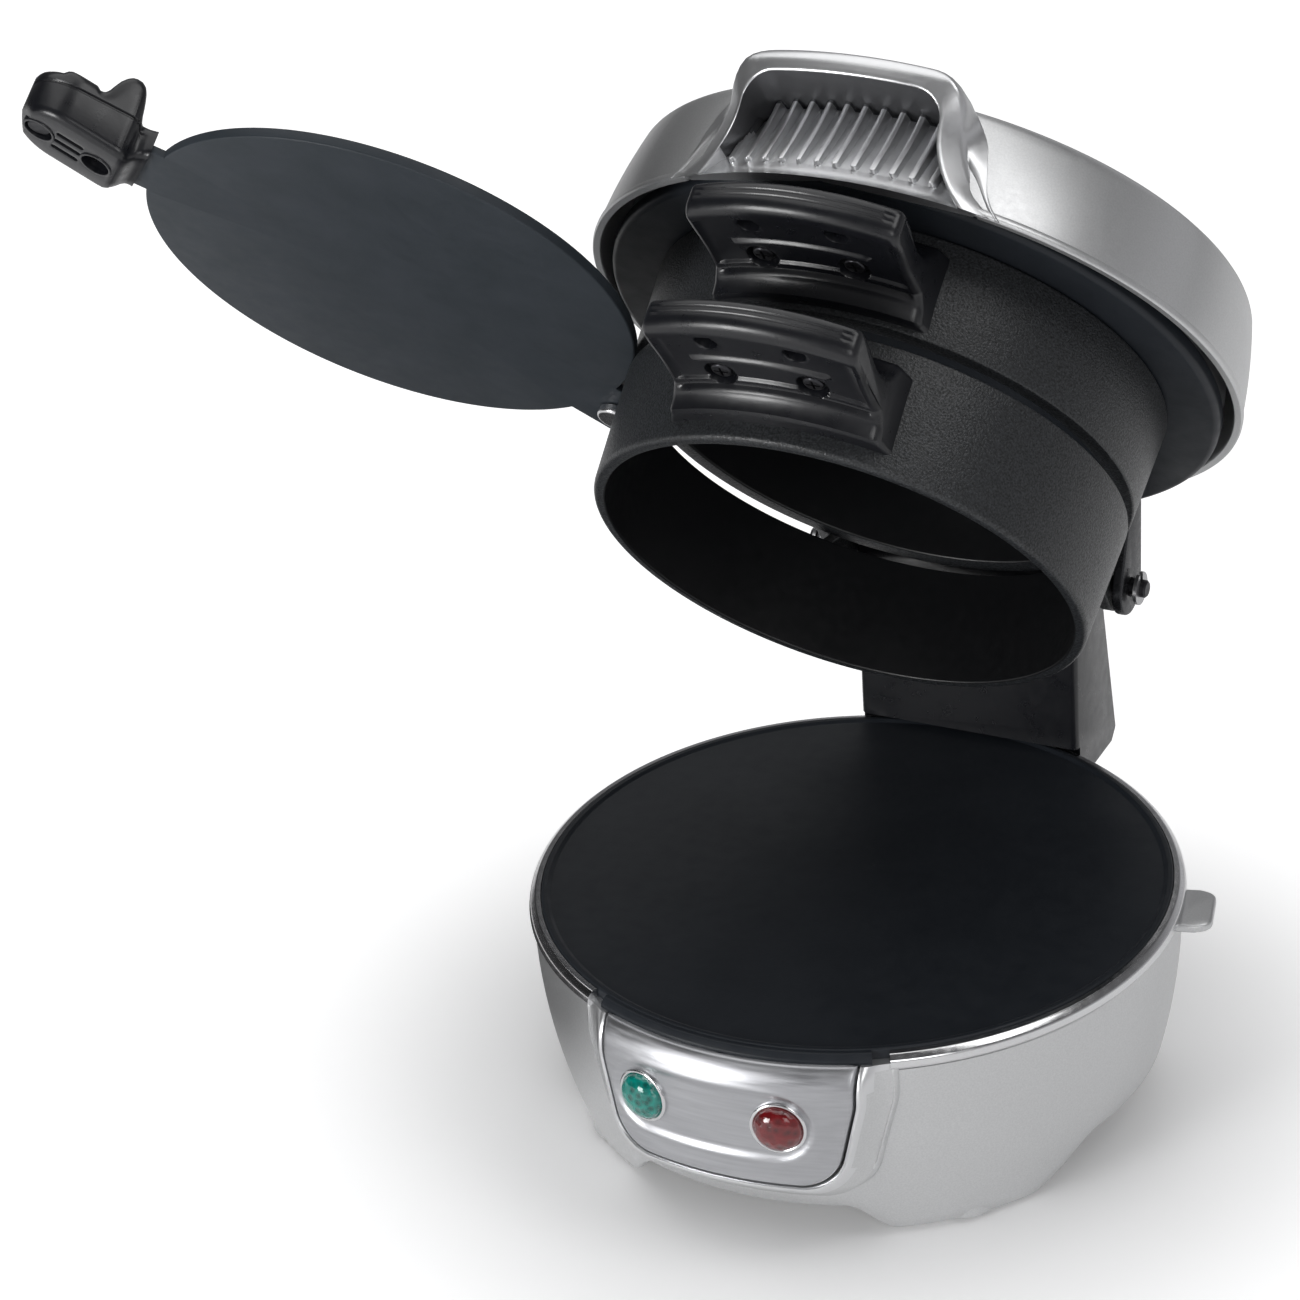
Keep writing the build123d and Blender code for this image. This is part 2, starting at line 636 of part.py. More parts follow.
with BuildPart() as hinge_post:
    with BuildSketch(Plane.YZ.offset(-POST_HALF)):
        with BuildLine():
            Polyline(
                (HINGE_Y + POST_TOP_R, HINGE_Z), (POST_REAR_Y, POST_LOW + 3), (POST_REAR_Y - 3, POST_LOW),
                (POST_FRONT_Y, POST_LOW), (POST_FRONT_Y, 56), (HINGE_Y - POST_TOP_R, HINGE_Z),
            )
            ThreePointArc(
                (HINGE_Y - POST_TOP_R, HINGE_Z),
                (HINGE_Y, HINGE_Z + POST_TOP_R),
                (HINGE_Y + POST_TOP_R, HINGE_Z),
            )
        make_face()
    extrude(amount=2 * POST_HALF)
    # hollow, open below
    with BuildSketch(Plane.YZ.offset(POST_SHELL - POST_HALF)):
        with BuildLine():
            Polyline(
                (POST_FRONT_Y + POST_SHELL, 54), (HINGE_Y - POST_TOP_R + POST_SHELL, 82),
                (HINGE_Y + 5.6, 82), (POST_REAR_Y - POST_SHELL, POST_LOW + 3), (86, POST_LOW - 1),
                (74, POST_LOW - 1), (74, 54), close=True,
            )
        make_face()
    extrude(amount=2 * (POST_HALF - POST_SHELL), mode=Mode.SUBTRACT)
    # tongue that stands against the housing and takes two screws from inside
    with BuildSketch(Plane.XY.offset(POST_SCREW_Z - 6)):
        with Locations((0, 71)):
            RectangleRounded(2 * FOOT_HALF, 10, 2)
    extrude(amount=POST_LOW - POST_SCREW_Z + 12)
    # ribs between the walls
    with BuildSketch(Plane.XZ.offset(-73)):
        with GridLocations(17, 1, 2, 1):
            with Locations((0, 60)):
                Rectangle(1.8, 36)
    extrude(amount=-8)
    add(base_form.part, mode=Mode.SUBTRACT)
    with BuildSketch(Plane.YZ.offset(-POST_HALF - 1)):
        with Locations((HINGE_Y, HINGE_Z)):
            Circle(PIN_R)
    extrude(amount=2 * POST_HALF + 2, mode=Mode.SUBTRACT)
    with BuildSketch(Plane.XZ.offset(-60)):
        with Locations((-POST_SCREW_X, POST_SCREW_Z), (POST_SCREW_X, POST_SCREW_Z)):
            Circle(1.5)
    extrude(amount=-15, mode=Mode.SUBTRACT)
    for side in (-1, 1):
        outer = hinge_post.edges().filter_by_position(
            Axis.X, side * POST_HALF - 0.1, side * POST_HALF + 0.1
        )
        rear = outer.filter_by(lambda e: e.center().Y > HINGE_Y + 2)
        fillet(rear.filter_by(lambda e: e.length > 30), 2.0)
hinge_post.part.label = "hinge_post"
export_step(hinge_post.part, "parts/hinge_post.step")

POST_SCREW = screw(3.2, 2.0, 1.5, 9)

with BuildPart() as hinge_post_screws:
    for x in (-POST_SCREW_X, POST_SCREW_X):
        with Locations(Plane(origin=(x, 65.6, POST_SCREW_Z), z_dir=(0, 1, 0))):
            add(POST_SCREW)
hinge_post_screws.part.label = "hinge_post_screws"
export_step(hinge_post_screws.part, "parts/hinge_post_screws.step")

PIN_HALF = 40.6

with BuildPart() as hinge_pin:
    with BuildSketch(Plane.YZ.offset(-PIN_HALF)):
        with Locations((HINGE_Y, HINGE_Z)):
            Circle(PIN_R)
    extrude(amount=2 * PIN_HALF)
    chamfer(hinge_pin.edges().filter_by(GeomType.CIRCLE), 0.4)
hinge_pin.part.label = "hinge_pin"
export_step(hinge_pin.part, "parts/hinge_pin.step")

CLIP_X = 38.4
CLIP_T = 0.8

with BuildPart() as pin_clips:
    for x in (-CLIP_X - CLIP_T, CLIP_X):
        with BuildSketch(Plane.YZ.offset(x)):
            with Locations((HINGE_Y, HINGE_Z)):
                Circle(PIN_R + 1.8)
                Circle(PIN_R, mode=Mode.SUBTRACT)
            with Locations((HINGE_Y, HINGE_Z + PIN_R + 1)):
                Rectangle(1.6, 3, mode=Mode.SUBTRACT)
        extrude(amount=CLIP_T)
pin_clips.part.label = "pin_clips"
export_step(pin_clips.part, "parts/pin_clips.step")

# ================================================================ RINGS
RING_LUG_R = 6.0
RING_LUG_T = 3.0
BOTTOM_LUG_X = 27.3         # inner face of the bottom ring's hinge lugs
TOP_LUG_X = 30.8            # the top ring's lugs run outside them
HANDLE_ROOT_Y = -56.0
HANDLE_FOLD_Y = -61.0       # where the flat underside starts to slope down to the root
HANDLE_NOSE_Y = -83.0
HANDLE_RISE = 4.0           # root of a handle above its ring's lower edge
UPPER_HANDLE_LIFT = 27.2    # upper handle above the lower one
TONGUE_HALF = 16.0
TONGUE_LOW = 11.0           # tongue of the ring inside its handle, above the ring's edge
TONGUE_T = 2.4
TONGUE_END_Y = -70.0
RING_SCREW_X = 10.0
RING_SCREW_Y = -63.4
RING_SCREW_L = 4.6


def ring_form(low, top, r_low, r_top, edge):
    """A cast ring: straight bore, outside widening upwards, rounded lips."""
    with BuildPart() as ring:
        with BuildSketch(Plane.XZ):
            with BuildLine():
                Polyline((BORE_R, low), (r_low, low), (r_top, top), (BORE_R, top), close=True)
            make_face()
        revolve(axis=Axis.Z)
        lips = ring.edges().filter_by(GeomType.CIRCLE)
        fillet(lips.group_by(Axis.Z)[0], edge)
        fillet(lips.group_by(Axis.Z)[-1], 0.4)
    return ring.part


def hinge_arms(lug_x, root_y, root_z):
    """Two straight arms from the ring's wall to the lugs on the hinge pin."""
    with BuildPart() as arms:
        for x in (-lug_x - RING_LUG_T, lug_x):
            with BuildSketch(Plane.YZ.offset(x)):
                with Locations((root_y, root_z)):
                    Circle(5)
                with Locations((HINGE_Y, HINGE_Z)):
                    Circle(RING_LUG_R)
                make_hull()
                with Locations((HINGE_Y, HINGE_Z)):
                    Circle(PIN_R + RUNNING, mode=Mode.SUBTRACT)
            extrude(amount=RING_LUG_T)
    return arms.part


def ring_tongue(low, lift):
    """Tongue with two holes for the handle's screws."""
    with BuildPart() as tongue:
        with BuildSketch(Plane.XY.offset(low + lift + TONGUE_LOW)):
            with BuildLine():
                Polyline(
                    (-TONGUE_HALF, -BORE_R * 0.985), (TONGUE_HALF, -BORE_R * 0.985),
                    (TONGUE_HALF, TONGUE_END_Y), (-TONGUE_HALF, TONGUE_END_Y), close=True,
                )
            make_face()
            fillet(vertices().sort_by(Axis.Y)[:2], 3)
            with Locations((-RING_SCREW_X, RING_SCREW_Y), (RING_SCREW_X, RING_SCREW_Y)):
                Circle(1.6, mode=Mode.SUBTRACT)
        extrude(amount=TONGUE_T)
    return tongue.part


with BuildPart() as bottom_ring:
    add(hinge_arms(BOTTOM_LUG_X, 50.0, 69.5))
    Cylinder(BORE_R, 300, mode=Mode.SUBTRACT)
    add(ring_form(RING_LOW, RING_TOP, RING_R_LOW, RING_R_HIGH, 1.3))
    add(ring_tongue(RING_LOW, 0))
    Cylinder(BORE_R, 300, mode=Mode.SUBTRACT)
bottom_ring.part.move(STACK_OPEN)
bottom_ring.part.label = "bottom_ring"
export_step(bottom_ring.part, "parts/bottom_ring.step")

LUG_HALF = 9.0
PIVOT_LUG_H = 5.6
PIVOT_PIN_R = 3.0

with BuildPart() as top_ring:
    add(hinge_arms(TOP_LUG_X, 47.5, 91.0))
    # lug for the cooking plate's pivot
    with BuildSketch(Plane.XY.offset(UPPER_LOW)):
        with Locations((PIVOT_X, PIVOT_Y)):
            Circle(LUG_HALF - 2.5)
        with PolarLocations(PIVOT_R - 5, 1, PIVOT_ANGLE):
            Rectangle(10, 2 * LUG_HALF - 5)
    extrude(amount=PIVOT_LUG_H)
    Cylinder(BORE_R, 300, mode=Mode.SUBTRACT)
    add(ring_form(UPPER_LOW, UPPER_TOP, UPPER_R_LOW, UPPER_R_HIGH, 0.5))
    add(ring_tongue(RING_LOW, UPPER_HANDLE_LIFT))
    Cylinder(BORE_R, 300, mode=Mode.SUBTRACT)
    with BuildSketch(Plane.XY.offset(UPPER_LOW - 1)):
        with Locations((PIVOT_X, PIVOT_Y)):
            Circle(PIVOT_PIN_R)
    extrude(amount=PIVOT_LUG_H + 2, mode=Mode.SUBTRACT)
top_ring.part.move(STACK_OPEN)
top_ring.part.label = "top_ring"
export_step(top_ring.part, "parts/top_ring.step")

PIVOT_HEAD_R = 4.2

with BuildPart() as plate_pivot_pin:
    with BuildSketch(Plane.XY.offset(PLATE_Z - SWING_CLEARANCE - 2.0)):
        with Locations((PIVOT_X, PIVOT_Y)):
            Circle(PIVOT_HEAD_R)
    extrude(amount=2.0)
    fillet(plate_pivot_pin.edges().sort_by(Axis.Z)[0], 1.0)
    with BuildSketch(Plane.XY.offset(PLATE_Z - SWING_CLEARANCE)):
        with Locations((PIVOT_X, PIVOT_Y)):
            Circle(PIVOT_PIN_R)
    extrude(amount=UPPER_LOW + PIVOT_LUG_H + 1.2 - PLATE_Z + SWING_CLEARANCE)
    chamfer(plate_pivot_pin.edges().sort_by(Axis.Z)[-1], 0.6)
plate_pivot_pin.part.move(STACK_OPEN)
plate_pivot_pin.part.label = "plate_pivot_pin"
export_step(plate_pivot_pin.part, "parts/plate_pivot_pin.step")

# ---------------------------------------------------------------- handles of the rings
HANDLE_HALF = 23.2
NOSE_SAGITTA = 4.9
NOSE_LOW = 8.8
NOSE_H = 7.1
FLANGE_TOP = 21.5
NOSE_BOW_R = (HANDLE_HALF ** 2 + NOSE_SAGITTA ** 2) / (2 * NOSE_SAGITTA)
NOSE_BOW_Y = HANDLE_NOSE_Y + NOSE_BOW_R
UNDER_RECESS = 0.7          # the underside is hollowed a little inside its edges
NOSE_LIP = 4.0
BAR_R = 44.6                # a low bar across it runs parallel to the nose
BAR_T = 1.4
MOULD_WELL = (9.6, -75.2)


def ring_handle(lift, ring_low, ring_top, r_low, r_top):
    """Moulded handle: a grip with a bowed nose that flares to a flange on the ring."""
    low = RING_LOW + lift
    with BuildPart() as handle:
        with BuildSketch(Plane.YZ.offset(-HANDLE_HALF - 2)):
            with BuildLine():
                Polyline(
                    (-50, low + HANDLE_RISE), (HANDLE_ROOT_Y, low + HANDLE_RISE),
                    (HANDLE_FOLD_Y, low + NOSE_LOW),
                    (HANDLE_NOSE_Y + 1, low + NOSE_LOW), (HANDLE_NOSE_Y, low + NOSE_LOW + 1),
                    (HANDLE_NOSE_Y, low + NOSE_LOW + NOSE_H - 1.5),
                    (HANDLE_NOSE_Y + 1.5, low + NOSE_LOW + NOSE_H),
                    (-71.5, low + NOSE_LOW + NOSE_H - 0.6),
                )
                ThreePointArc(
                    (-71.5, low + NOSE_LOW + NOSE_H - 0.6),
                    (-63.6, low + 16.3),
                    (-59.2, low + FLANGE_TOP - 1.2),
                )
                Polyline(
                    (-59.2, low + FLANGE_TOP - 1.2), (-58.4, low + FLANGE_TOP),
                    (-50, low + FLANGE_TOP), (-50, low + HANDLE_RISE),
                )
            make_face()
        extrude(amount=2 * HANDLE_HALF + 4)
        # plan outline: bowed front edge, sides that widen a little at the flange
        with BuildSketch(Plane.XY.offset(low)):
            with BuildLine():
                front_y = HANDLE_NOSE_Y + NOSE_SAGITTA
                ThreePointArc((-HANDLE_HALF, front_y), (0, HANDLE_NOSE_Y), (HANDLE_HALF, front_y))
                Polyline(
                    (HANDLE_HALF, front_y), (HANDLE_HALF - 0.8, -60), (HANDLE_HALF + 1.2, -52),
                    (HANDLE_HALF + 1.2, -44), (-HANDLE_HALF - 1.2, -44),
                    (-HANDLE_HALF - 1.2, -52), (-HANDLE_HALF + 0.8, -60), (-HANDLE_HALF, front_y),
                )
            make_face()
            fillet(vertices().sort_by(Axis.Y)[:2], 3)
        extrude(amount=40, mode=Mode.INTERSECT)
        with Locations((0, 0, ring_low)):
            Cone(
                r_low + 0.05, r_top + 0.05, ring_top - ring_low,
                align=(Align.CENTER, Align.CENTER, Align.MIN), mode=Mode.SUBTRACT,
            )
        # hollowed underside with a bar across it
        with BuildSketch(Plane.XY.offset(low)):
            with Locations((0, NOSE_BOW_Y)):
                Circle(NOSE_BOW_R - NOSE_LIP)
                Circle(-HANDLE_FOLD_Y + NOSE_BOW_Y + 1.4, mode=Mode.SUBTRACT)
            with Locations((0, -70)):
                Rectangle(41, 26, mode=Mode.INTERSECT)
        extrude(amount=NOSE_LOW + UNDER_RECESS, mode=Mode.SUBTRACT)
        with BuildSketch(Plane.XY.offset(low + NOSE_LOW)):
            with Locations((0, NOSE_BOW_Y)):
                Circle(BAR_R + BAR_T / 2)
                Circle(BAR_R - BAR_T / 2, mode=Mode.SUBTRACT)
            with Locations((0, -70)):
                Rectangle(30, 26, mode=Mode.INTERSECT)
        extrude(amount=UNDER_RECESS + 0.4)
        # pocket for the ring's tongue
        with BuildSketch(Plane.XY.offset(low + TONGUE_LOW)):
            with Locations((0, (TONGUE_END_Y - 50) / 2 - 0.1)):
                Rectangle(2 * TONGUE_HALF + 0.2, -TONGUE_END_Y - 50 + 0.2)
        extrude(amount=TONGUE_T, mode=Mode.SUBTRACT)
        # two screw wells at the fold and two small moulding wells near the nose
        with BuildSketch(Plane.XY.offset(low)):
            with Locations((-RING_SCREW_X, RING_SCREW_Y), (RING_SCREW_X, RING_SCREW_Y)):
                Circle(1.4)
        extrude(amount=TONGUE_LOW + RING_SCREW_L, mode=Mode.SUBTRACT)
        with BuildSketch(Plane.XY.offset(low)):
            with Locations((-RING_SCREW_X, RING_SCREW_Y), (RING_SCREW_X, RING_SCREW_Y)):
                Circle(3.4)
        extrude(amount=TONGUE_LOW, mode=Mode.SUBTRACT)
        with BuildSketch(Plane.XY.offset(low)):
            with Locations((-MOULD_WELL[0], MOULD_WELL[1]), MOULD_WELL):
                Circle(2.4)
        extrude(amount=13.4, mode=Mode.SUBTRACT)
    return handle.part


with BuildPart() as bottom_ring_handle:
    add(ring_handle(0, RING_LOW, RING_TOP, RING_R_LOW, RING_R_HIGH))
bottom_ring_handle.part.move(STACK_OPEN)
bottom_ring_handle.part.label = "bottom_ring_handle"
export_step(bottom_ring_handle.part, "parts/bottom_ring_handle.step")

with BuildPart() as top_ring_handle:
    add(ring_handle(UPPER_HANDLE_LIFT, UPPER_LOW, UPPER_TOP, UPPER_R_LOW, UPPER_R_HIGH))
top_ring_handle.part.move(STACK_OPEN)
top_ring_handle.part.label = "top_ring_handle"
export_step(top_ring_handle.part, "parts/top_ring_handle.step")

RING_SCREW = screw(3.0, 1.4, 1.4, RING_SCREW_L)

with BuildPart() as bottom_ring_handle_screws:
    with Locations((0, 0, RING_LOW + TONGUE_LOW)):
        with Locations((-RING_SCREW_X, RING_SCREW_Y), (RING_SCREW_X, RING_SCREW_Y)):
            add(RING_SCREW)
bottom_ring_handle_screws.part.move(STACK_OPEN)
bottom_ring_handle_screws.part.label = "bottom_ring_handle_screws"
export_step(bottom_ring_handle_screws.part, "parts/bottom_ring_handle_screws.step")

with BuildPart() as top_ring_handle_screws:
    with Locations((0, 0, RING_LOW + UPPER_HANDLE_LIFT + TONGUE_LOW)):
        with Locations((-RING_SCREW_X, RING_SCREW_Y), (RING_SCREW_X, RING_SCREW_Y)):
            add(RING_SCREW)
top_ring_handle_screws.part.move(STACK_OPEN)
top_ring_handle_screws.part.label = "top_ring_handle_screws"
export_step(top_ring_handle_screws.part, "parts/top_ring_handle_screws.step")

# ================================================================ COOKING PLATE
PLATE_RIM = 0.7             # height of the rim round the plate
PLATE_FLOOR_T = PLATE_H - PLATE_RIM
EAR_HALF = 9.5
EAR_END = 68.5
TANG_HALF = 6.0
TANG_END = 82.0
PLATE_SCREW_R = (65.7, 79.2)
PLATE_SCREW_L = 5.6

with BuildPart() as cooking_plate:
    with BuildSketch(Plane.XY.offset(PLATE_Z)):
        Circle(PLATE_R)
    extrude(amount=PLATE_H)
    with BuildSketch(Plane.XY.offset(PLATE_Z + PLATE_FLOOR_T)):
        Circle(PLATE_R - 1.6)
    extrude(amount=PLATE_RIM, mode=Mode.SUBTRACT)
    # ear with the pivot hole, tang inside the handle
    with BuildSketch(Plane.XY.offset(PLATE_Z)):
        with PolarLocations(EAR_END - 8, 1, PIVOT_ANGLE):
            RectangleRounded(16, 2 * EAR_HALF, 3.5)
        with PolarLocations(EAR_END - 12, 1, PIVOT_ANGLE):
            Rectangle(8, 2 * EAR_HALF)
        with PolarLocations((TANG_END + 52) / 2, 1, PLATE_HANDLE_ANGLE):
            Rectangle(TANG_END - 52, 2 * TANG_HALF)
        with Locations((PIVOT_X, PIVOT_Y)):
            Circle(PIVOT_PIN_R + RUNNING, mode=Mode.SUBTRACT)
        for screw_r in PLATE_SCREW_R:
            with Locations(polar(screw_r, PLATE_HANDLE_ANGLE)):
                Circle(1.6, mode=Mode.SUBTRACT)
    extrude(amount=PLATE_FLOOR_T)
cooking_plate.part.move(PLATE_OPEN)
cooking_plate.part.label = "cooking_plate"
export_step(cooking_plate.part, "parts/cooking_plate.step")

GRIP_START = 60.4
GRIP_END = 84.0
GRIP_HALF = 10.0
GRIP_LOW = 73.3             # underside of the grip at its root
GRIP_T = 11.5
GRIP_TIP_R = 8.0
GRIP_SLOPE = sin(radians(8))
NECK_START = 56.9
THUMB_TOP = 91.8
HANDLE_SIDE = radial_plane(PLATE_HANDLE_ANGLE)

with BuildPart() as plate_handle:
    with BuildSketch(HANDLE_SIDE.offset(-GRIP_HALF)):
        with BuildLine():
            tip_low = GRIP_LOW + (GRIP_END - GRIP_START) * GRIP_SLOPE
            Polyline(
                (NECK_START, 75.2), (GRIP_START, 74.8), (GRIP_START + 0.4, GRIP_LOW),
                (GRIP_END - 4, tip_low - 0.6),
            )
            ThreePointArc(
                (GRIP_END - 4, tip_low - 0.6),
                (GRIP_END, tip_low + GRIP_T / 2 - 0.5),
                (GRIP_END - 4.6, tip_low + GRIP_T - 0.8),
            )
            # a raised pad, a dip, then the thumb tab over the root
            Polyline(
                (GRIP_END - 4.6, tip_low + GRIP_T - 0.8), (78.8, GRIP_LOW + GRIP_T + 2.0),
                (78.2, GRIP_LOW + GRIP_T + 2.7), (71.6, GRIP_LOW + GRIP_T + 1.8),
                (71.0, GRIP_LOW + GRIP_T + 1.1), (69.6, GRIP_LOW + GRIP_T + 1.2),
            )
            Spline(
                (69.6, GRIP_LOW + GRIP_T + 1.2), (68.0, THUMB_TOP - 2.6), (65.6, THUMB_TOP),
                tangents=((-1, 0.1), (-1, 0.2)),
            )
            ThreePointArc((65.6, THUMB_TOP), (62.9, THUMB_TOP - 0.5), (61.8, THUMB_TOP - 2.6))
            Polyline(
                (61.8, THUMB_TOP - 2.6), (GRIP_START, 83.4),
                (NECK_START, 83.2), (NECK_START, 75.2),
            )
        make_face()
    extrude(amount=2 * GRIP_HALF)
    # rounded tip in plan, narrower neck
    with BuildSketch(Plane.XY.offset(60)):
        with PolarLocations((GRIP_END + GRIP_START) / 2, 1, PLATE_HANDLE_ANGLE):
            RectangleRounded(GRIP_END - GRIP_START + 0.2, 2 * GRIP_HALF, GRIP_TIP_R)
        with PolarLocations(GRIP_START + 2, 1, PLATE_HANDLE_ANGLE):
            Rectangle(10.6, 2 * GRIP_HALF - 1.6)
    extrude(amount=40, mode=Mode.INTERSECT)
    with BuildSketch(Plane.XY.offset(PLATE_Z)):
        with PolarLocations((TANG_END + 52) / 2, 1, PLATE_HANDLE_ANGLE):
            Rectangle(TANG_END - 52, 2 * TANG_HALF)
    extrude(amount=PLATE_FLOOR_T, mode=Mode.SUBTRACT)
    # two screw wells underneath, and three grooves between them
    with BuildSketch(Plane.XY.offset(PLATE_Z)):
        for screw_r in PLATE_SCREW_R:
            with Locations(polar(screw_r, PLATE_HANDLE_ANGLE)):
                Circle(1.4)
    extrude(amount=PLATE_SCREW_L, mode=Mode.SUBTRACT)
    with BuildSketch(Plane.XY.offset(70)):
        for screw_r in PLATE_SCREW_R:
            with Locations(polar(screw_r, PLATE_HANDLE_ANGLE)):
                Circle(3.2)
    extrude(amount=PLATE_Z - 70, mode=Mode.SUBTRACT)
    with BuildSketch(Plane.XY.offset(70)):
        with PolarLocations(sum(PLATE_SCREW_R) / 2, 1, PLATE_HANDLE_ANGLE):
            with GridLocations(1, 3.2, 1, 3):
                SlotOverall(6.4, 1.6)
    extrude(amount=6.4, mode=Mode.SUBTRACT)
plate_handle.part.move(PLATE_OPEN)
plate_handle.part.label = "plate_handle"
export_step(plate_handle.part, "parts/plate_handle.step")

PLATE_SCREW = screw(2.8, 1.4, 1.4, PLATE_SCREW_L)

with BuildPart() as plate_handle_screws:
    with Locations((0, 0, PLATE_Z)):
        for screw_r in PLATE_SCREW_R:
            with Locations(polar(screw_r, PLATE_HANDLE_ANGLE)):
                add(PLATE_SCREW)
plate_handle_screws.part.move(PLATE_OPEN)
plate_handle_screws.part.label = "plate_handle_screws"
export_step(plate_handle_screws.part, "parts/plate_handle_screws.step")

# ================================================================ COVER
COVER_TIP = turn_about(HINGE_AXIS, COVER_PITCH)
UPPER_PLATE_R = 67.5
UPPER_PLATE_T = 3.6
LINER_R = 66.5
LINER_WALL = 1.5
LINER_TOP = 112.0
UPPER_PLATE_TOP = LINER_Z + UPPER_PLATE_T
LINER_FLOOR_TOP = UPPER_PLATE_TOP + LINER_WALL

BRACKET_X = 34.4
BRACKET_T = 2.4
BRACKET_FOOT_IN = 23.0
BRACKET_SCREW = (29.0, 53.0)
UPPER_SCREW_R = 61.0
UPPER_SCREW_ANGLES = (0, 180, 270)
PILLAR_ANGLES = (30, 150, 225, 315)

with BuildPart() as upper_hotplate:
    with BuildSketch(Plane.XZ):
        with BuildLine():
            Polyline(
                (0, LINER_Z), (UPPER_PLATE_R - 1.2, LINER_Z), (UPPER_PLATE_R, LINER_Z + 1.2),
                (UPPER_PLATE_R, UPPER_PLATE_TOP), (0, UPPER_PLATE_TOP), close=True,
            )
        make_face()
    revolve(axis=Axis.Z)
    # screw holes from above
    with BuildSketch(Plane.XY.offset(UPPER_PLATE_TOP)):
        with Locations([polar(UPPER_SCREW_R, angle) for angle in UPPER_SCREW_ANGLES]):
            Circle(1.5)
        with Locations((-BRACKET_SCREW[0], BRACKET_SCREW[1]), BRACKET_SCREW):
            Circle(1.5)
    extrude(amount=-2.6, mode=Mode.SUBTRACT)
upper_hotplate.part.move(STACK_OPEN)
upper_hotplate.part.label = "upper_hotplate"
export_step(upper_hotplate.part, "parts/upper_hotplate.step")

with BuildPart() as cover_liner:
    with BuildSketch(Plane.XY.offset(UPPER_PLATE_TOP)):
        Circle(LINER_R)
        Circle(54, mode=Mode.SUBTRACT)
        for angle in UPPER_SCREW_ANGLES:
            with Locations(polar(UPPER_SCREW_R, angle)):
                Circle(1.6, mode=Mode.SUBTRACT)
    extrude(amount=LINER_WALL)
    with BuildSketch(Plane.XY.offset(UPPER_PLATE_TOP)):
        Circle(LINER_R)
        Circle(LINER_R - LINER_WALL, mode=Mode.SUBTRACT)
    extrude(amount=LINER_TOP - UPPER_PLATE_TOP)
    # room for the hinge bracket's feet
    for side in (-1, 1):
        with BuildSketch(Plane.XY.offset(UPPER_PLATE_TOP - 1)):
            with Locations((side * 30.2, 55)):
                Rectangle(15.4, 18)
        extrude(amount=3.2, mode=Mode.SUBTRACT)
cover_liner.part.move(STACK_OPEN)
cover_liner.part.label = "cover_liner"
export_step(cover_liner.part, "parts/cover_liner.step")

UPPER_SCREW = screw(2.8, 1.6, 1.5, 3.9)

with BuildPart() as upper_hotplate_screws:
    for angle in UPPER_SCREW_ANGLES:
        seat = Vector(*polar(UPPER_SCREW_R, angle), LINER_FLOOR_TOP)
        with Locations(Plane(origin=seat, z_dir=(0, 0, -1))):
            add(UPPER_SCREW)
upper_hotplate_screws.part.move(STACK_OPEN)
upper_hotplate_screws.part.label = "upper_hotplate_screws"
export_step(upper_hotplate_screws.part, "parts/upper_hotplate_screws.step")

# ---------------------------------------------------------------- handle of the cover
HANDLE_HALF_TOP = 25.5
HANDLE_HALF_LOW = 35.0
HANDLE_LOW_Z = 109.3
HANDLE_TOP_Z = 136.0
GRILLE_LOW_Z = 112.0
GRILLE_TOP_Z = 130.4
GRILLE_HALF_TOP = 21.6
GRILLE_HALF_LOW = 27.4
GRILLE_RIBS = 12
RIB_PITCH = 4.0
RIB_T = 1.5
BACK_TOP = (64.0, 131.0)    # back wall of the grip recess, upper and lower edge
BACK_LOW = (70.4, 111.5)


def arch_outline(half_low, half_top, low, top, corner):
    """Front view of the handle: a flat-topped arch that widens downwards."""
    with BuildSketch(Plane.XZ) as arch:
        with BuildLine():
            Polyline(
                (-half_low, low), (half_low, low), (half_top, top), (-half_top, top), close=True
            )
        make_face()
        fillet(arch.vertices().filter_by(lambda v: v.Z > top - 0.1), corner)
    return arch.sketch


with BuildPart() as handle_block:
    with BuildSketch(Plane.XZ):
        with BuildLine():
            Polyline(
                (62.0, BACK_TOP[1]), (68.2, HANDLE_LOW_Z), (72.3, HANDLE_LOW_Z), (76.9, 133.0)
            )
            ThreePointArc((76.9, 133.0), (76.3, 135.2), (74.3, HANDLE_TOP_Z))
            Polyline((74.3, HANDLE_TOP_Z), (62.0, 134.9), (62.0, BACK_TOP[1]))
        make_face()
    revolve(axis=Axis.Z)
    extrude(
        arch_outline(HANDLE_HALF_LOW, HANDLE_HALF_TOP, HANDLE_LOW_Z - 1, HANDLE_TOP_Z + 1, 9),
        amount=100, mode=Mode.INTERSECT,
    )

with BuildPart() as grip_recess:
    with BuildSketch(Plane.XZ):
        with BuildLine():
            ThreePointArc(BACK_TOP, (66.6, 119.5), BACK_LOW)
            Polyline(BACK_LOW, (90, GRILLE_LOW_Z - 0.6), (90, BACK_TOP[1]), BACK_TOP)
        make_face()
    revolve(axis=Axis.Z)
    extrude(
        arch_outline(GRILLE_HALF_LOW, GRILLE_HALF_TOP, GRILLE_LOW_Z, GRILLE_TOP_Z, 6),
        amount=100, mode=Mode.INTERSECT,
    )

